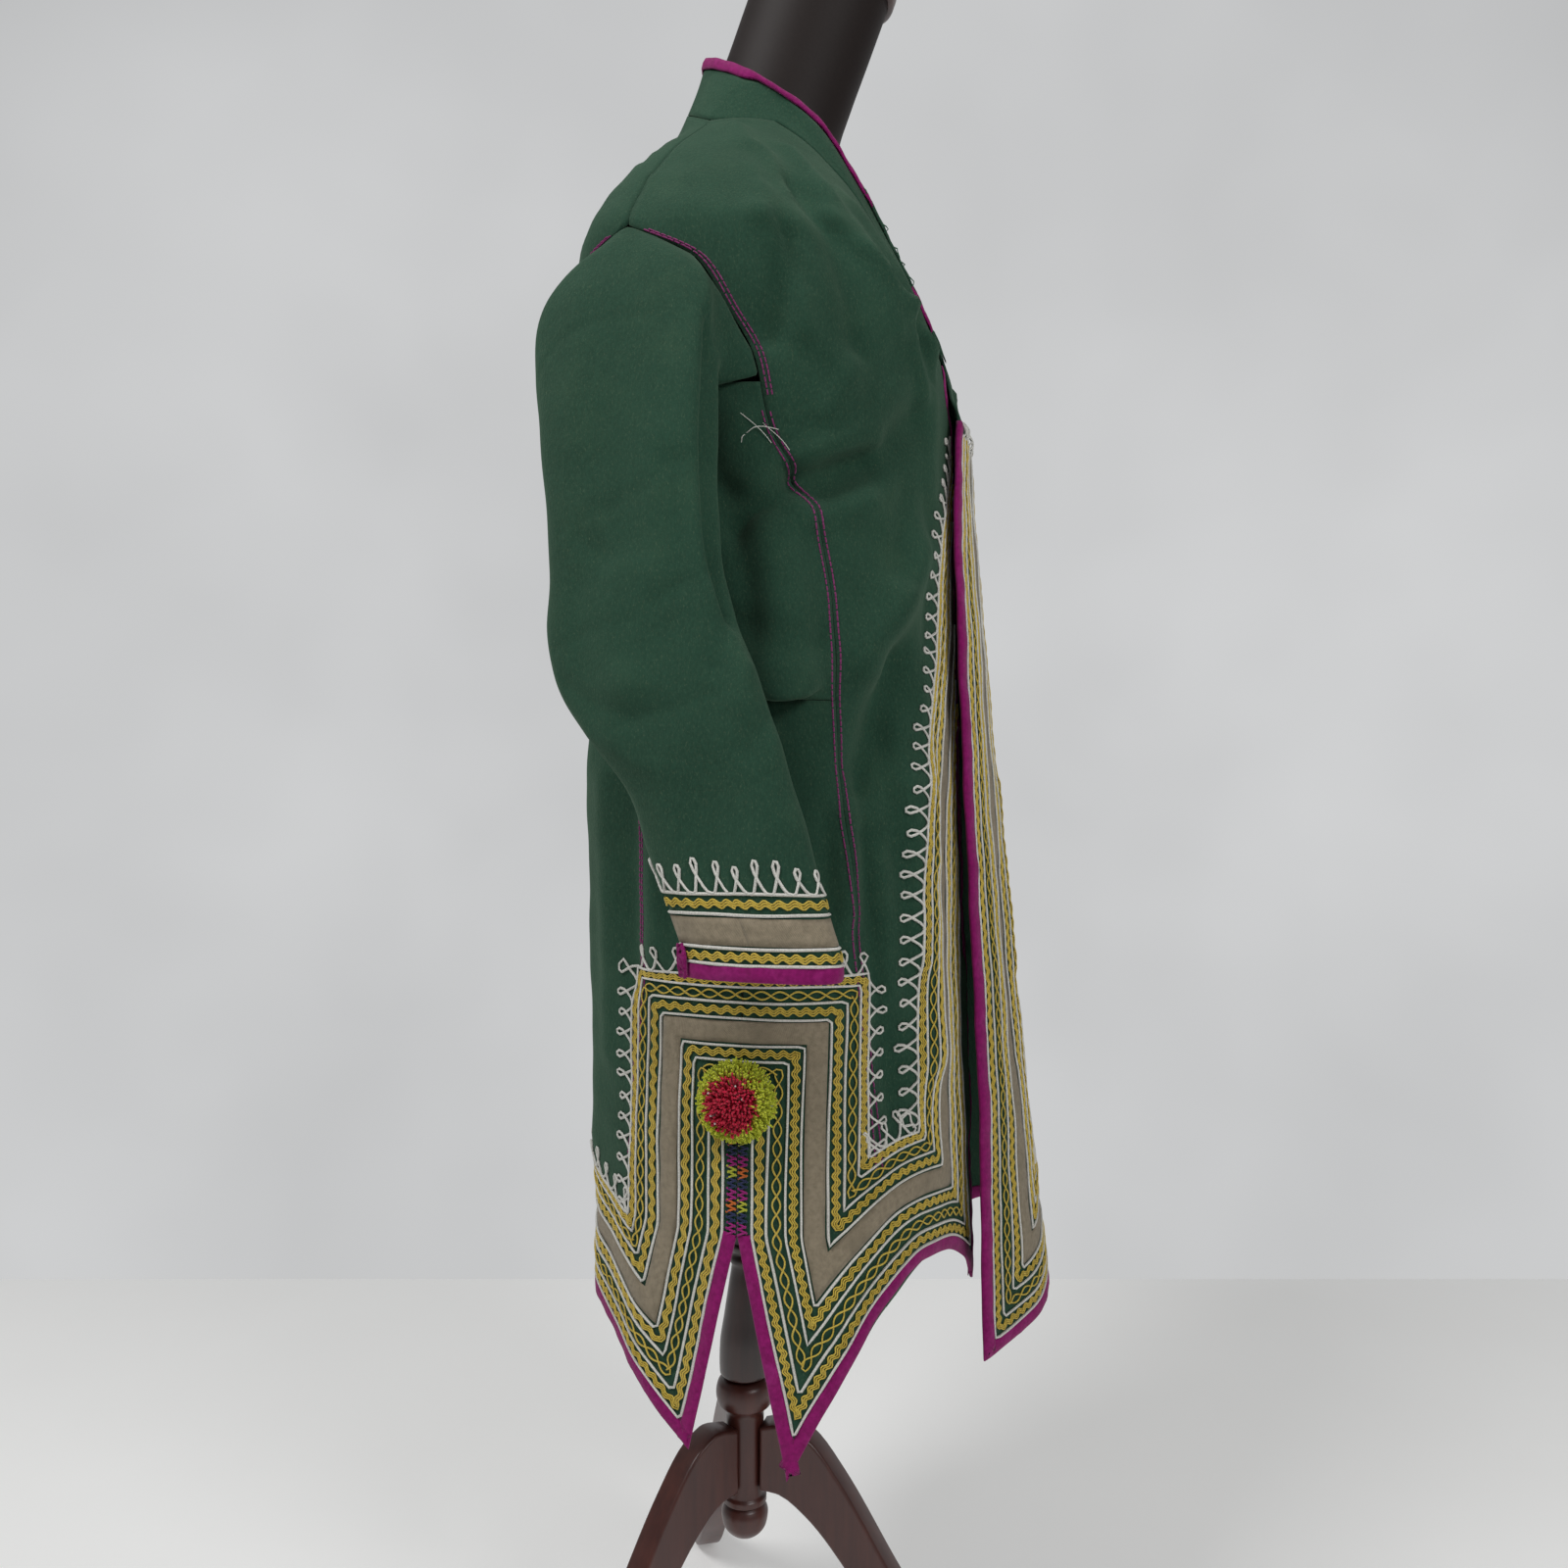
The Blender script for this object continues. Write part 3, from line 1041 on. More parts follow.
for side in (right, left):
    yellow, white = borderCords(side)
    cordPiece("yellowCords" + sideTitle[side], yellow, embroidery["yellow"], yellowCord)
    cordPiece("whiteCords" + sideTitle[side], white, embroidery["cord"], whiteCord)
    ribbonPiece(side)
print("border embroidery ready")


# each binding leg has rows of (across, height, direction into the cloth)
def hemLeg(surface, part, start, end, count):
    across = np.linspace(float(start), float(end), count)
    height = surface.hemHeight(part, across)
    slope = np.gradient(height, across)
    size = np.hypot(1, slope)
    return np.stack([across, height, -slope / size, 1 / size], axis=1)


def ventLeg(surface, part, heights):
    edge, into = surface.ventEdge(part, heights), -1 if part == "front" else 1
    lean = np.gradient(edge, heights)
    size = np.hypot(1, lean)
    return np.stack([edge, heights, into / size, -into * lean / size], axis=1)


def ventCorner(surface, part, corner):
    for _ in range(20):
        corner = float(surface.hemHeight(part, surface.ventEdge(part, corner)))
    return corner


def softCorners(legs):
    # each corner shares the two directions, so the tape mitres there
    out = [legs[0][:-1]]
    for before, after in zip(legs, legs[1:]):
        corner = after[0].copy()
        corner[2:] = before[-1][2:] + after[0][2:]
        out.append(corner[None, :])
        out.append(after[1:-1])
    out.append(legs[-1][-1:])
    return np.concatenate(out)


def makeFrontBinding(side):
    # down the front edge, along the hem, up to the slit's top
    surface = coats[side]
    top = 1.232 if side == right else 1.178
    down = np.linspace(top, float(surface.hemHeight("front", surface.edge("frontEdge", 0.42))), 150)
    corner = ventCorner(surface, "front", 0.34)
    legs = [np.stack([surface.edge("frontEdge", down), down, np.ones(150), np.zeros(150)], axis=1),
            hemLeg(surface, "front", surface.edge("frontEdge", down[-1]), surface.ventEdge("front", corner),
                   70),
            ventLeg(surface, "front", np.linspace(corner, coat["slitTop"], 40))]
    makeBinding("frontBinding" + sideTitle[side], *edgeFrames(surface, softCorners(legs)),
                ["front_binding_" + sideName[side]])


def makeBackBinding():
    # down one slit, along the hem, up the other
    frames = []
    for side in (right, left):
        surface = coats[side]
        corner = ventCorner(surface, "back", 0.35)
        legs = [ventLeg(surface, "back", np.linspace(coat["slitTop"], corner, 40)),
                hemLeg(surface, "back", surface.ventEdge("back", corner), surface.edge("centreBack", 0.45),
                       80)]
        parts = edgeFrames(surface, softCorners(legs))
        frames.append(parts if side == right else [part[::-1][1:] for part in parts])
    makeBinding("backBinding", *(np.concatenate(parts) for parts in zip(*frames)), ["back_binding"])


def makeCuffBinding(side):
    tube = sleeves[side]
    angles = np.linspace(0, 360, 97)
    edge = tube.spots(angles, tube.length)
    inward = unit(tube.spots(angles, tube.length - 0.004) - edge)
    normal = unit(tube.spots(angles, tube.length - 0.002, 0.001) - tube.spots(angles, tube.length - 0.002))
    makeBinding("cuffBinding" + sideTitle[side], edge, inward, normal, ["cuff_binding_" + sideName[side]],
                closed=True)


for side in (right, left):
    makeFrontBinding(side)
    makeCuffBinding(side)
makeBackBinding()
print("bindings ready")


# the border on the cuffs runs round them, measured up from the edge in mm
cuff = {"white": [11.6, 23.5, 48.0, 63.0], "zigzag": [17.2, 55.6], "ribbon": (25.4, 45.6),
        "loops": 19, "loopHeight": (0.017, 0.026)}


def cuffBorder(side):
    tube = sleeves[side]
    angles = np.linspace(0, 360, 721)

    def lay(around, up, out):
        # around is in metres of the cuff's own girth
        ring = tube.spots(angles, tube.length - 0.02)
        girth = runLength(ring)
        turn = np.interp(np.mod(around, girth[-1]), girth, angles)
        return tube.spots(turn, tube.length - up, out), girth[-1]
    girth = lay(np.zeros(1), np.zeros(1), 0.0)[1]
    yellow, white = [], []
    for up in cuff["white"]:
        at = np.linspace(0, girth * 0.9999, 90)
        white.append(lay(at, up / 1000 + 0.0004 * np.sin(at * 70 + up), embroidery["out"])[0])
    for up in cuff["zigzag"]:
        count = int(girth / (embroidery["zigzagPeriod"] / 6))
        at = np.linspace(0, girth * 0.9999, count + 1)
        yellow += [lay(at, up / 1000 + aside, embroidery["out"])[0] for aside in threeStrands(at)]
    shape = np.array(loopShape)
    pitch = girth / cuff["loops"]
    xs, ys = [], []
    for number in range(cuff["loops"]):
        height = rng.uniform(*cuff["loopHeight"])
        xs += list((number + 0.5 + 0.9 * shape[:, 0] + rng.uniform(-0.1, 0.1) * shape[:, 1]) * pitch)
        ys += list(cuff["white"][-1] / 1000 + shape[:, 1] * height)
    white.append(lay(np.array(xs), np.array(ys), embroidery["out"])[0])
    cordPiece("cuffYellow" + sideTitle[side], yellow, embroidery["yellow"], yellowCord)
    cordPiece("cuffWhite" + sideTitle[side], white, embroidery["cord"], whiteCord)

    def place(s, t):
        low, high = cuff["ribbon"]
        up = (low + (high - low) * t) / 1000
        spots, _ = lay(s * girth * 0.99999, up, 0.0008 + 0.0003 * np.sin(s * 60))
        return spots, np.stack([s * girth, t * 0.0202], axis=1)
    piece = clothGrid("cuffRibbon" + sideTitle[side], 96, 4, place, taupe, flip=side == left, closed=True)
    thicken(piece, embroidery["ribbonThickness"])
    settle(piece, "yarn")


for side in (right, left):
    cuffBorder(side)
print("cuff embroidery ready")


# neckband, one sweep from front to front, with its bound free edge
bandEdge = table("along x y z", [
    (0.00, 0.000, 0.033, 1.537), (0.14, 0.032, 0.026, 1.530), (0.27, 0.0555, 0.002, 1.512),
    (0.38, 0.0665, -0.028, 1.491), (0.48, 0.0675, -0.056, 1.470), (0.58, 0.057, -0.084, 1.447),
    (0.70, 0.034, -0.113, 1.403), (0.84, 0.012, -0.151, 1.325), (0.93, 0.0045, -0.172, 1.278),
    (1.00, 0.0026, -0.187, 1.240),
])
band = {"side": 0.38, "finish": 0.985, "stations": 90, "thickness": 0.0019, "start": 0.02, "end": 0.985,
        "tapeRoom": 0.0095, "puff": 2.2}


def bandRails():
    seam, free = [], []
    stations = np.linspace(0, band["finish"], band["stations"])
    for side in (right, left):
        surface = coats[side]
        along = stations[::-1] if side == right else stations[1:]
        column = np.clip(1 - along / band["side"], 0, 1)
        backHeight = coat["neckSide"] + (coat["backNeck"] - coat["neckSide"]) * np.sin(column * math.pi / 2)
        share = np.clip((along - band["side"]) / (1 - band["side"]), 0, 1)
        frontHeight = coat["neckSide"] + (coat["bandEnd"] - coat["neckSide"]) * share
        behind = along < band["side"]
        height = np.where(behind, backHeight, frontHeight)
        ridge = surface.edge("ridge", height)
        across = np.where(behind, ridge + (surface.edge("centreBack", height) - ridge) * column,
                          surface.edge("frontEdge", height))
        seam.append(surface.spots(across, height))
        x, y, z = (read(bandEdge, key, along) for key in ("x", "y", "z"))
        free.append(np.stack([side * x, axisY + y, z], axis=1))
    return np.concatenate(seam), np.concatenate(free)


def makeNeckband():
    seam, free = bandRails()
    count = len(seam) - 1
    length = np.linalg.norm(free - seam, axis=1)
    run = runLength(free)
    across = (free - seam) / length[:, None]
    normal = unit(np.cross(across, np.gradient(free, axis=0)))

    def place(s, t):
        i = np.rint(s * count).astype(int)
        share = band["start"] + (band["end"] - band["tapeRoom"] / length[i] - band["start"]) * t
        ripple = 0.0009 * np.sin(run[i] * 55 + 2) * np.sin(t * math.pi) * np.minimum(length[i] / 0.03, 1)
        spots = seam[i] + (free[i] - seam[i]) * share[:, None] + normal[i] * (ripple - 0.0002)[:, None]
        return spots, np.stack([run[i], share * length[i]], axis=1)
    piece = clothGrid("neckband", count, 10, place, felt, flip=True)
    thicken(piece, band["thickness"])
    settle(piece, "felt", "neckband")
    # the tape reads as worn away over part of each front edge, where the green felt shows
    stations = np.linspace(0, band["finish"], band["stations"])
    along = np.concatenate([stations[::-1], stations[1:]])
    half = band["stations"] - 1
    spans = [("Neck", 0.0, 0.745, magenta), ("WornUpper", 0.745, 0.868, felt),
             ("Slit", 0.868, 0.945, magenta), ("WornLower", 0.945, 0.985, felt)]
    for label, low, high, finish in spans:
        inside = np.flatnonzero((along >= low - 0.012) & (along <= high + 1e-6))
        runs = [inside] if low == 0 else [inside[inside < half], inside[inside > half]]
        for number, mine in enumerate(runs):
            makeBinding("neckbandBinding" + label + str(number), free[mine], -across[mine], normal[mine],
                        ["neckband_binding"] if low == 0 else [], puff=band["puff"], finish=finish)


makeNeckband()
print("neckband ready")


# dress form
formTable = table("height halfWidth widest front back fullness", [
    (0.752, 0.150, -0.020, -0.118, 0.070, 2.2), (0.770, 0.164, -0.020, -0.134, 0.088, 2.2),
    (0.830, 0.172, -0.020, -0.142, 0.100, 2.2), (0.900, 0.164, -0.020, -0.140, 0.094, 2.2),
    (0.970, 0.140, -0.022, -0.132, 0.072, 2.2), (1.030, 0.126, -0.025, -0.126, 0.060, 2.2),
    (1.100, 0.138, -0.030, -0.150, 0.070, 2.2), (1.175, 0.156, -0.035, -0.178, 0.088, 2.2),
    (1.240, 0.168, -0.030, -0.164, 0.094, 2.25), (1.300, 0.178, -0.015, -0.140, 0.090, 2.3),
    (1.335, 0.174, -0.005, -0.122, 0.082, 2.3),
])
neckTable = table("height y radius lean", [
    (1.452, -0.020, 0.0690, 8), (1.475, -0.029, 0.0640, 15), (1.510, -0.043, 0.0625, 20),
    (1.555, -0.061, 0.0625, 21), (1.598, -0.078, 0.0625, 21),
])
neck = {"width": 0.93, "around": 96, "rows": 150, "capRadius": 0.0665, "capHeight": 0.016}


def formRows():
    angle = np.linspace(0, 2 * math.pi, neck["around"] + 1)
    cosine, sine = np.cos(angle), np.sin(angle)
    rows = []
    for height in list(formTable["height"]) + [1.350, 1.375, 1.400, 1.420, 1.437]:
        if height > 1.34:
            half, widest, full = (float(read(body, key, height))
                                  for key in ("halfWidth", "widest", "fullness"))
            half -= 0.0090 + 0.35 * max(height - 1.400, 0.0)
            front = float(read(body, "frontRight", height)) + 0.012
            back = float(read(body, "back", height)) - 0.014
        else:
            half, widest, front, back, full = (
                float(read(formTable, key, height))
                for key in ("halfWidth", "widest", "front", "back", "fullness"))
        depth = np.where(sine > 0, back - widest, widest - front)
        rows.append(np.stack([half * np.sign(cosine) * np.abs(cosine)**(2 / full),
                              axisY + widest + depth * np.sign(sine) * np.abs(sine)**(2 / full),
                              np.full(len(angle), height)], axis=1))
    for height, y, radius, lean in zip(*(neckTable[key] for key in ("height", "y", "radius", "lean"))):
        tilt = math.radians(lean)
        rows.append(np.stack([neck["width"] * radius * cosine, axisY + y + radius * sine * math.cos(tilt),
                              height + radius * sine * math.sin(tilt)], axis=1))
    return np.array(rows)


def makeForm():
    rows = formRows()
    knots = rowKnots(rows)
    tangents = np.gradient(rows, knots, axis=0)
    count, around = neck["rows"], neck["around"]

    def place(s, t):
        # the first and last rows close the ends
        share = np.clip((t * count - 1) / (count - 2), 0, 1)
        at = share * knots[-1]
        i = np.clip(np.searchsorted(knots, at) - 1, 0, len(knots) - 2)
        j = np.rint(s * around).astype(int) % around
        step = knots[i + 1] - knots[i]
        u, step = ((at - knots[i]) / step)[:, None], step[:, None]
        spots = hermite(u, step, rows[i, j], rows[i + 1, j], tangents[i, j], tangents[i + 1, j])
        spots[t < 0.5 / count] = rows[0].mean(axis=0)
        spots[t > 1 - 0.5 / count] = rows[-1].mean(axis=0)
        return spots, np.stack([s, t], axis=1)
    piece = clothGrid("dressForm", around, count, place, cover, closed=True)
    return settle(piece, "form_cover", "dress_form")


def makeCap():
    top, middle = neckTable["height"][-1], neckTable["y"][-1]
    lean = math.radians(neckTable["lean"][-1])
    shape = bmesh.new()
    bmesh.ops.create_cone(shape, cap_ends=True, segments=72, radius1=neck["capRadius"],
                          radius2=neck["capRadius"], depth=neck["capHeight"])
    rims = [edge for edge in shape.edges if abs(edge.verts[0].co.z - edge.verts[1].co.z) < 1e-6]
    bmesh.ops.bevel(shape, geom=rims, offset=0.0042, segments=4, affect="EDGES", profile=0.5, material=-1)
    caps = [face for face in shape.faces if len(face.verts) > 40]
    bmesh.ops.inset_region(shape, faces=caps, thickness=0.0030, depth=-0.0006)
    for vert in shape.verts:
        x, y, z = vert.co
        lift = neck["capHeight"] / 2 + 0.0003 + z
        vert.co = (x, axisY + middle + y * math.cos(lean) - lift * math.sin(lean),
                   top + y * math.sin(lean) + lift * math.cos(lean))
    piece = finishMesh("neckCap", shape, capWood)
    return settle(piece, "cap_wood", "neck_cap")


def woodFinish(name, dark, pale, rough):
    wood = Finish(name, rough, Coat_Weight=0.25, Coat_Roughness=0.3)
    grain = wood.noise(26.0, 5.0, 0.6, stretch=(3.0, 3.0, 0.35))
    wood.colour(wood.mix(wood.level(grain, 0.32, 0.70), dark, pale))
    wood.rough(0.08 * wood.noise(90.0) + (rough - 0.04))
    wood.bump(grain, 0.12, 0.0008)
    return wood.material


coverFinish = Finish("formCover", 0.62)
coverFinish.shader.inputs["Specular IOR Level"].default_value = 0.25
coverFinish.colour(coverFinish.mix(coverFinish.noise(420.0, 3.0, 0.6), (0.010, 0.0062, 0.0055),
                                   (0.016, 0.0102, 0.0090)))
coverFinish.bump(coverFinish.noise(1300.0, 2.0, 0.6), 0.3, 0.0004)
cover = coverFinish.material
capWood = woodFinish("capWood", (0.040, 0.016, 0.012), (0.075, 0.030, 0.022), 0.42)
standWood = woodFinish("standWood", (0.046, 0.011, 0.008), (0.084, 0.022, 0.015), 0.40)
postWood = woodFinish("postWood", (0.017, 0.009, 0.008), (0.050, 0.019, 0.015), 0.34)
makeForm()
makeCap()
print("dress form ready")


# turned stand: (height, radius) from the bottom up
postProfile = [
    (0.3020, 0.0170), (0.3060, 0.0235), (0.3180, 0.0240), (0.3330, 0.0235), (0.3600, 0.0195),
    (0.3900, 0.0150), (0.4080, 0.0125), (0.4100, 0.0140), (0.4150, 0.0140), (0.4165, 0.0125),
    (0.4200, 0.0125), (0.4215, 0.0140), (0.4265, 0.0140), (0.4280, 0.0125), (0.4320, 0.0120),
    (0.7515, 0.0120),
]
columnProfile = [
    (0.1510, 0.0000), (0.1520, 0.0075), (0.1560, 0.0150), (0.1640, 0.0205), (0.1740, 0.0220),
    (0.1810, 0.0195), (0.1840, 0.0165), (0.1855, 0.0205), (0.1900, 0.0205), (0.1925, 0.0180),
    (0.2680, 0.0180), (0.2720, 0.0200), (0.2780, 0.0255), (0.2870, 0.0272), (0.2960, 0.0255),
    (0.3010, 0.0200), (0.3017, 0.0000),
]
legTop = [(0.0183, 0.2600), (0.0420, 0.2660), (0.0640, 0.2570), (0.0936, 0.2240), (0.1450, 0.1450),
          (0.1950, 0.0720), (0.2280, 0.0400), (0.2580, 0.0290), (0.2720, 0.0170)]
legUnder = [(0.2380, 0.0000), (0.2180, 0.0060), (0.1700, 0.0520), (0.1050, 0.1380), (0.0620, 0.1850),
            (0.0340, 0.2010), (0.0183, 0.2020)]


def smoothOutline(points, steps):
    points = np.array(points)
    reach = np.concatenate([[0], np.cumsum(np.hypot(*np.diff(points, axis=0).T))])
    curve = {"reach": reach, "a": points[:, 0], "b": points[:, 1]}
    at = np.unique(np.concatenate([np.linspace(0, reach[-1], steps), reach]))
    return np.stack([read(curve, "a", at), read(curve, "b", at)], axis=1)


def makeTurned(name, profile, steps, finish, slot, node):
    outline = smoothOutline(profile, steps)
    outline = [(outline[0][0], 0.0), *map(tuple, outline), (outline[-1][0], 0.0)]
    shape = bmesh.new()
    verts = [shape.verts.new((max(radius, 0.0), 0, height)) for height, radius in outline]
    edges = [shape.edges.new(pair) for pair in zip(verts, verts[1:])]
    bmesh.ops.spin(shape, geom=verts + edges, cent=(0, 0, 0), axis=(0, 0, 1), dvec=(0, 0, 0),
                   angle=2 * math.pi, steps=64, use_merge=True, use_normal_flip=False, use_duplicate=False)
    bmesh.ops.remove_doubles(shape, verts=shape.verts, dist=0.00002)
    bmesh.ops.recalc_face_normals(shape, faces=shape.faces)
    bmesh.ops.translate(shape, verts=shape.verts, vec=(0, axisY, 0))
    return settle(finishMesh(name, shape, finish), slot, node)


def makeLeg(name, heading, node):
    outline = [*smoothOutline(legTop, 40), (0.2740, 0.004), (0.2710, 0.0), *smoothOutline(legUnder, 34)]
    curve = bpy.data.curves.new(name, "CURVE")
    curve.dimensions = "2D"
    curve.fill_mode = "BOTH"
    curve.extrude, curve.bevel_depth, curve.bevel_resolution = 0.0100, 0.0030, 3
    curve.offset = -0.0030
    spline = curve.splines.new("POLY")
    spline.points.add(len(outline) - 1)
    for spot, (reach, height) in zip(spline.points, outline):
        spot.co = (reach, height, 0, 1)
    spline.use_cyclic_u = True
    shape = bmesh.new()
    shape.from_mesh(curveMesh(name, curve))
    bmesh.ops.remove_doubles(shape, verts=shape.verts, dist=0.00001)
    turn = math.radians(heading)
    for vert in shape.verts:
        reach, height, aside = vert.co
        vert.co = (reach * math.cos(turn) - aside * math.sin(turn),
                   axisY + reach * math.sin(turn) + aside * math.cos(turn), height)
    bmesh.ops.recalc_face_normals(shape, faces=shape.faces)
    piece = finishMesh(name, shape, standWood, smooth=False)
    return settle(piece, "stand_wood", node)


makeTurned("post", postProfile, 90, postWood, "post_wood", "post")
makeTurned("column", columnProfile, 110, standWood, "stand_wood", "column")
makeLeg("legFront", -90, "leg_front")
makeLeg("legBackRight", 150, "leg_back_right")
makeLeg("legBackLeft", 30, "leg_back_left")
print("stand ready")


# pompoms over the vents: cut yarn strands from a small knot
pompom = {"height": 0.618, "strands": 1400, "reach": 0.0315, "radius": 0.00085, "redWithin": 0.78,
          "core": 0.0245, "goldenAngle": 2.39996, "lowest": 0.0006, "cream": 0.012, "bend": 0.0024}


def makePompom(side):
    surface = coats[side]
    across = float(surface.edge("vent", pompom["height"]))
    seat = surface.spots(across, pompom["height"], 0.0012)
    out = unit(surface.spots(across, pompom["height"], 0.0112) - seat)
    flat = unit(np.cross(out, (0, 0, 1.0)))
    up = np.cross(flat, out)
    strands = {"red": [], "lime": [], "cream": []}
    for number in range(pompom["strands"]):
        tilt = math.acos(max(1 - (number + 0.5) / pompom["strands"], 0.02)) + rng.uniform(-0.06, 0.06)
        turn = number * pompom["goldenAngle"] + rng.uniform(-0.1, 0.1)
        reach = pompom["reach"] * rng.uniform(0.90, 1.04)
        tip = (out * math.cos(tilt) + (flat * math.cos(turn) + up * math.sin(turn)) * math.sin(tilt)) * reach
        tip = tip + out * max(pompom["lowest"] - tip @ out, 0)
        bend = np.array([rng.uniform(-1, 1), rng.uniform(-1, 1), rng.uniform(-1.6, 0.6)]) * pompom["bend"]
        kind = "red" if tilt < pompom["redWithin"] + rng.uniform(-0.12, 0.12) else "lime"
        if rng.random() < pompom["cream"]:
            kind = "cream"
        strands[kind].append([seat + tip * 0.45, seat + tip * 0.78 + bend, seat + tip + bend * 0.6])
    for kind, finish in (("lime", limeYarn), ("red", redYarn), ("cream", whiteCord)):
        cordPiece("pompom" + kind.title() + sideTitle[side], strands[kind], pompom["radius"], finish,
                  nodes=["pompom_" + sideName[side]] if kind == "lime" else [])
    shape = bmesh.new()
    bmesh.ops.create_uvsphere(shape, u_segments=32, v_segments=24, radius=pompom["core"])
    below = [face for face in shape.faces if face.calc_center_median().z < 0]
    bmesh.ops.delete(shape, geom=below, context="FACES")
    rim = [edge for edge in shape.edges if edge.is_boundary]
    bmesh.ops.contextual_create(shape, geom=rim)
    for vert in shape.verts:
        x, y, z = vert.co
        vert.co = seat + flat * x + up * y + out * z
    bmesh.ops.recalc_face_normals(shape, faces=shape.faces)
    settle(finishMesh("pompomCore" + sideTitle[side], shape, redYarn), "yarn")


for side in (right, left):
    makePompom(side)
print("pompoms ready")


# coloured chain stitches over the closed part of each side seam, above the slit
strip = {"low": 0.517, "high": 0.606, "half": 0.0086, "pitch": 0.0021, "lean": 0.0016, "out": 0.0013,
         "radius": 0.00085}


def makeStrip(side):
    surface = coats[side]
    colours = [magentaThread, navyThread, orangeThread, magentaThread, navyThread, limeThread]
    rows = {index: [] for index in range(len(colours))}
    heights = np.arange(strip["low"], strip["high"], strip["pitch"])
    for number, height in enumerate(heights):
        middle = float(surface.edge("vent", height))
        lean = strip["lean"] * (1 if number % 2 else -1)
        for half in (-1, 1):
            reach = strip["half"] * (0.94 + 0.06 * math.sin(number * 1.7))
            xs = middle + half * np.linspace(0.0006, reach, 4)
            zs = height + lean * np.linspace(-1, 1, 4) * half
            index = (number // 4 + (0 if half > 0 else 3)) % len(colours)
            rows[index].append(surface.spots(xs, zs, strip["out"]))
    for index, paths in rows.items():
        cordPiece("seamStitches" + str(index) + sideTitle[side], paths, strip["radius"], colours[index])


for side in (right, left):
    makeStrip(side)
print("seam stitches ready")


# loose ends: white threads left at the side seam, dark ones at the neck, a knot on the cuff
looseRadius = {"white": 0.00035, "neck": 0.00055, "ends": 0.0011, "knot": 0.0017}


def makeLooseEnds():
    surface = coats[right]
    white = []
    for x1, z1, x2, z2, lift in ((0.262, 1.150, 0.236, 1.126, 0.004), (0.228, 1.134, 0.262, 1.130, 0.006),
                                 (0.240, 1.139, 0.222, 1.120, 0.003), (0.246, 1.131, 0.262, 1.118, 0.005)):
        s = np.linspace(0, 1, 9)
        white.append(surface.spots(x1 + (x2 - x1) * s + 0.003 * np.sin(s * 5), z1 + (z2 - z1) * s
                                   + 0.003 * np.sin(s * 4), 0.0008 + lift * np.sin(s * math.pi)))
    cordPiece("looseWhiteThreads", white, looseRadius["white"], whiteCord)
    free = bandRails()[1]
    dark = []
    for start, size in ((12, 1.0), (14, 0.8), (16, 1.2), (19, 0.9), (24, 0.7)):
        s = np.linspace(0, 1, 12)[:, None]
        out = np.array([-0.5, -0.8, 0.1]) * 0.009 * size
        fall = np.array([0.1, -0.15, -1.0]) * 0.026 * size
        dark.append(free[start] + out * np.sin(s * math.pi * 1.4) + fall * s
                    + np.array([0.0, 0.5, 0.3]) * 0.004 * np.sin(s * 13 + start))
    cordPiece("looseNeckThreads", dark, looseRadius["neck"], greenThread)
    # cord ends gathered where the left front's border starts
    surface = coats[left]
    ends = []
    for number in range(9):
        s = np.linspace(0, 1, 10)
        x = float(surface.edge("frontEdge", 1.168)) + 0.012 + 0.0095 * number
        ends.append(surface.spots(x + 0.004 * np.sin(s * 6 + number),
                                  1.166 + (0.012 + 0.003 * (number % 4)) * s,
                                  0.001 + 0.003 * np.sin(s * math.pi)))
    cordPiece("borderCordEnds", ends, looseRadius["ends"], whiteCord)
    knot = []
    tube = sleeves[right]
    for number in range(7):
        s = np.linspace(0, 1, 14)
        knot.append(tube.spots(296 + 7 * np.sin(s * 5 + number * 2.1), tube.length - 0.002 - 0.019 * s
                               + 0.004 * np.cos(s * 7 + number), 0.0022 + 0.0028 * np.sin(s * math.pi)))
    cordPiece("cuffKnot", knot, looseRadius["knot"], magenta, slot="binding")


makeLooseEnds()
print("loose ends ready")


# topstitching: short pink stitches in double rows beside the seams
stitching = {"pitch": 0.0048, "stitch": 0.0040, "out": 0.0006, "radius": 0.00072, "low": 0.560, "high": 1.150,
             "shoulderLow": 1.160, "shoulderHigh": 1.285}


def bodyStitches(surface, key, aside, low, high, count):
    zs = np.linspace(low, high, count)
    path, run = resample(np.stack([surface.edge(key, zs) + aside, zs], axis=1), 0.004)
    paths = []
    for number in range(int(run[-1] / stitching["pitch"])):
        start = number * stitching["pitch"] + rng.uniform(0, 0.0006)
        at = np.linspace(start, start + stitching["stitch"] * rng.uniform(0.85, 1.1), 3)
        paths.append(surface.spots(np.interp(at, run, path[:, 0]), np.interp(at, run, path[:, 1]),
                                   stitching["out"] * np.array([0.2, 1.0, 0.2])))
    return paths


for side in (right, left):
    surface = coats[side]
    paths = []
    for key in ("frontSeam", "backSeam"):
        for aside in (-0.0032, 0.0030):
            paths += bodyStitches(surface, key, aside, stitching["low"], stitching["high"], 120)
    for aside in (-0.0040, -0.0075):
        for key, way in (("frontSeam", 1), ("backSeam", -1)):
            paths += bodyStitches(surface, key, way * aside, stitching["shoulderLow"],
                                  stitching["shoulderHigh"], 60)
    cordPiece("seamTopstitch" + sideTitle[side], paths, stitching["radius"], seamThread)
print("topstitching ready")


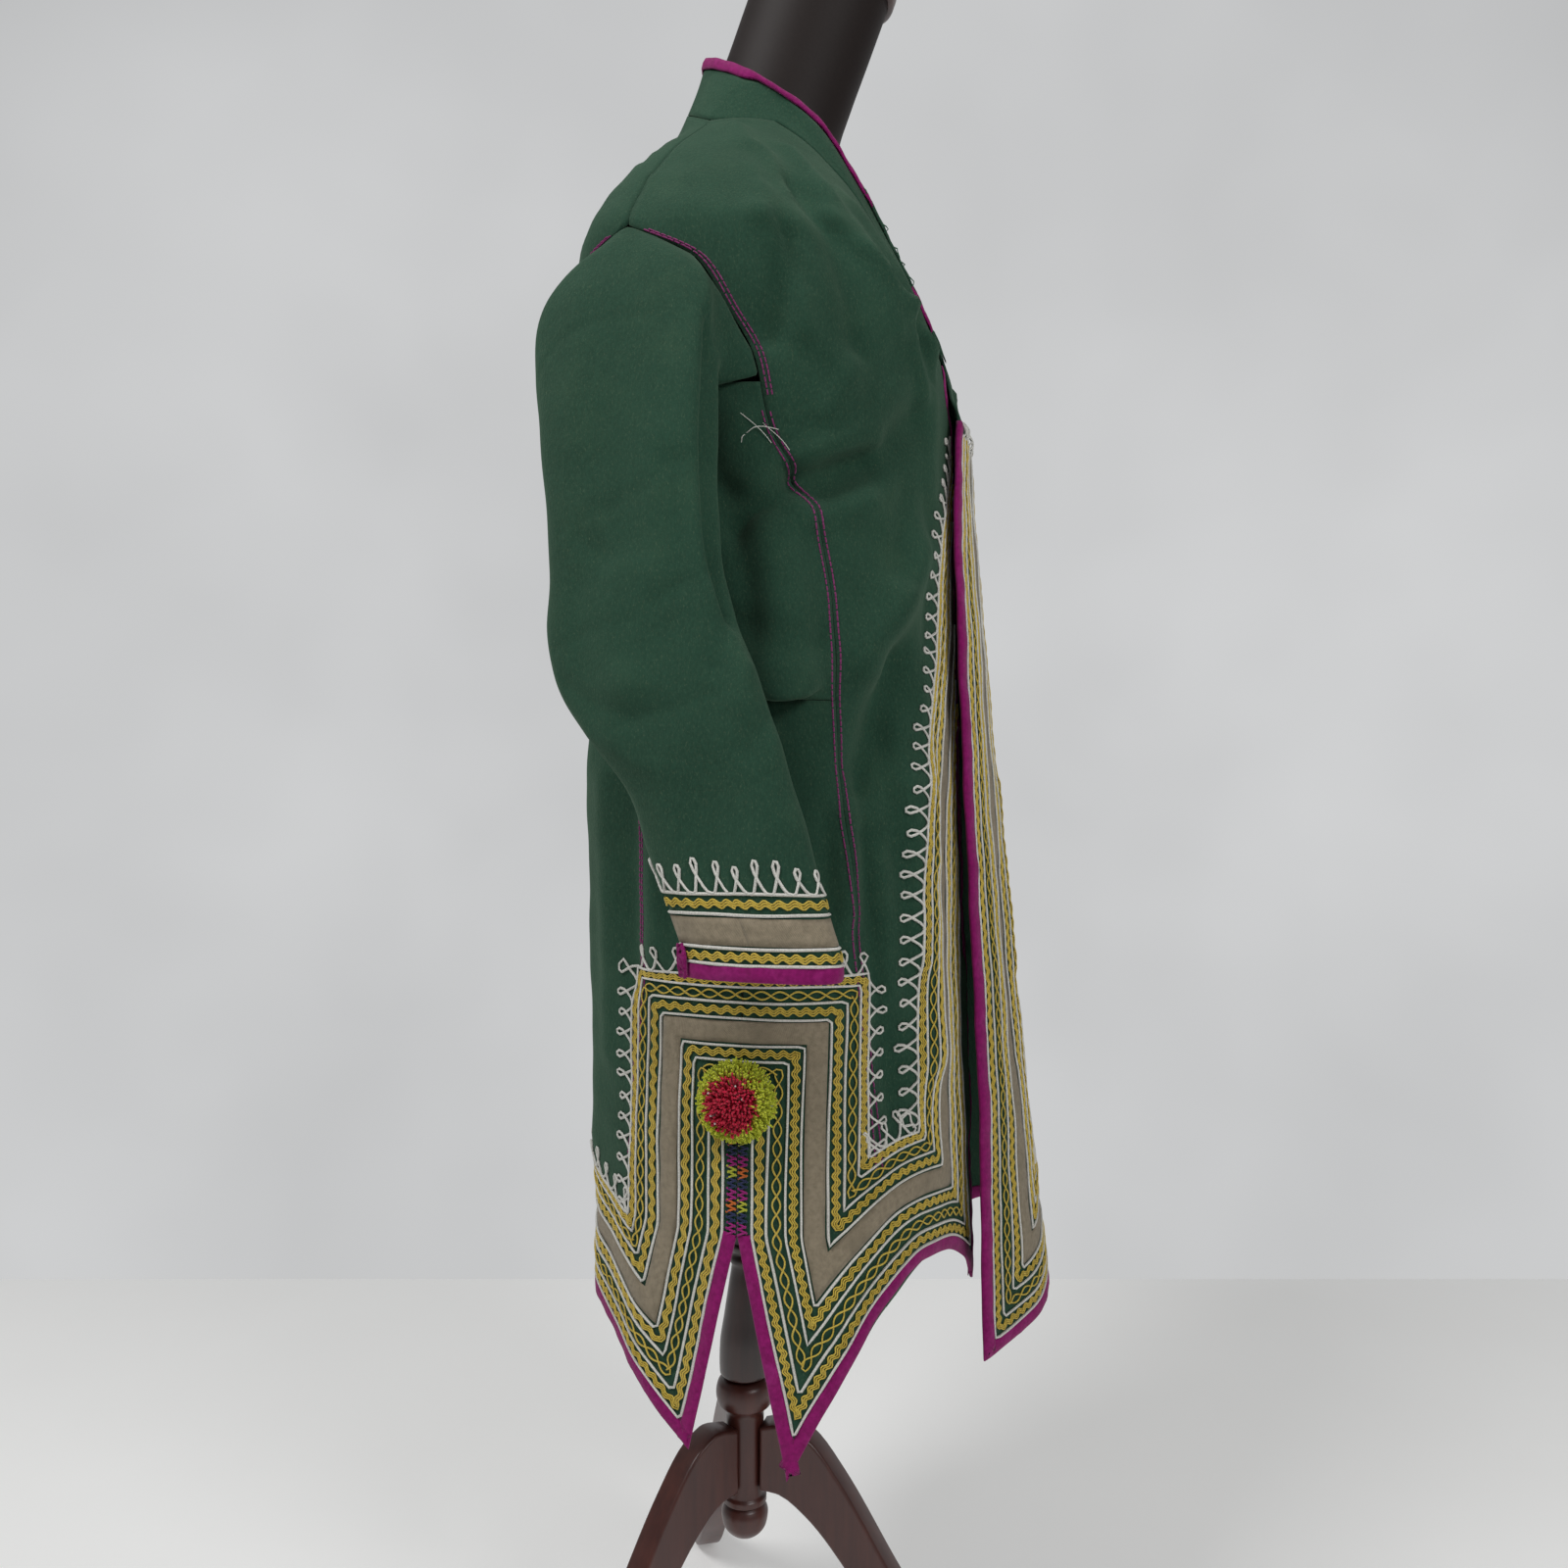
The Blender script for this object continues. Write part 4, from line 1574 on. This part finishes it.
# studio: pale floor, soft light and the photograph's camera
studio = {"eye": (-1.0603, -0.3629 + axisY, 0.86), "floorDrop": -0.0006, "floorEnd": 2.06, "floorWidth": 12,
          "floorDepth": 9, "glow": 0.26, "behind": 0.60, "around": 0.17, "lamp": 0.9, "lens": 27.2}
viewAhead, viewAside = np.array([0.9563, 0.2924, 0]), np.array([0.2924, -0.9563, 0])


def makeStage():
    # the floor ends where the pale sheet behind it hangs in the photograph
    foot = np.array([*studio["eye"][:2], studio["floorDrop"]])
    shape = bmesh.new()
    bmesh.ops.create_grid(shape, x_segments=12, y_segments=12, size=0.5)
    for vert in shape.verts:
        vert.co = (foot + viewAside * vert.co.x * studio["floorWidth"]
                   + viewAhead * (studio["floorEnd"] - studio["floorDepth"] * (0.5 - vert.co.y)))
    floor = Finish("floorPaint", 0.85)
    floor.colour(floor.mix(floor.noise(3.0, 4.0, 0.6), (0.76, 0.76, 0.75), (0.82, 0.82, 0.81)))
    floor.shader.inputs["Emission Color"].default_value = (0.9, 0.9, 0.89, 1.0)
    floor.shader.inputs["Emission Strength"].default_value = studio["glow"]
    finishMesh("floor", shape, floor.material, smooth=False)


def makeWorld():
    # bright behind the coat, as the lit sheet is, and dimmer on the other sides
    world = bpy.data.worlds.new("studio")
    world.use_nodes = True
    tree = world.node_tree
    place = tree.nodes.new("ShaderNodeTexCoord")
    where = Sock(tree, place.outputs["Generated"])
    facing = where.out(where.node("ShaderNodeVectorMath", {"operation": "DOT_PRODUCT"}, i0=where,
                                  i1=tuple(viewAhead)), "Value")
    soft = where.out(where.node("ShaderNodeTexNoise", None, Vector=where, Scale=3.0, Detail=3.0))
    share = where.out(where.node("ShaderNodeMapRange", {"clamp": True}, Value=facing, From_Min=0.35,
                                 From_Max=0.80, To_Min=studio["around"], To_Max=studio["behind"]))
    back = tree.nodes["Background"]
    back.inputs["Color"].default_value = (0.98, 0.99, 1.0, 1.0)
    tree.links.new((share + share * (soft - 0.5) * 0.35).socket, back.inputs["Strength"])
    bpy.context.scene.world = world


def aim(piece, spot, direction):
    piece.location = spot
    piece.rotation_euler = Vector(direction).to_track_quat("-Z", "Y").to_euler()


def addLight(name, spot, height, power):
    lamp = bpy.data.lights.new(name, "AREA")
    lamp.shape, lamp.size, lamp.energy = "DISK", studio["lamp"], power
    aim(placed(name, lamp), spot, Vector((0, axisY, height)) - Vector(spot))


makeStage()
makeWorld()
addLight("topLight", (-1.4, 0.9, 2.9), 0.8, 38)
addLight("frontLight", (-1.3, -1.9, 2.2), 0.7, 24)
bpy.context.scene.view_settings.view_transform = "Standard"

camera = bpy.data.cameras.new("photoCamera")
camera.lens, camera.sensor_width = studio["lens"], 36.0
eye = placed("photoCamera", camera)
aim(eye, studio["eye"], viewAhead)
bpy.context.scene.camera = eye
print("camera ready")
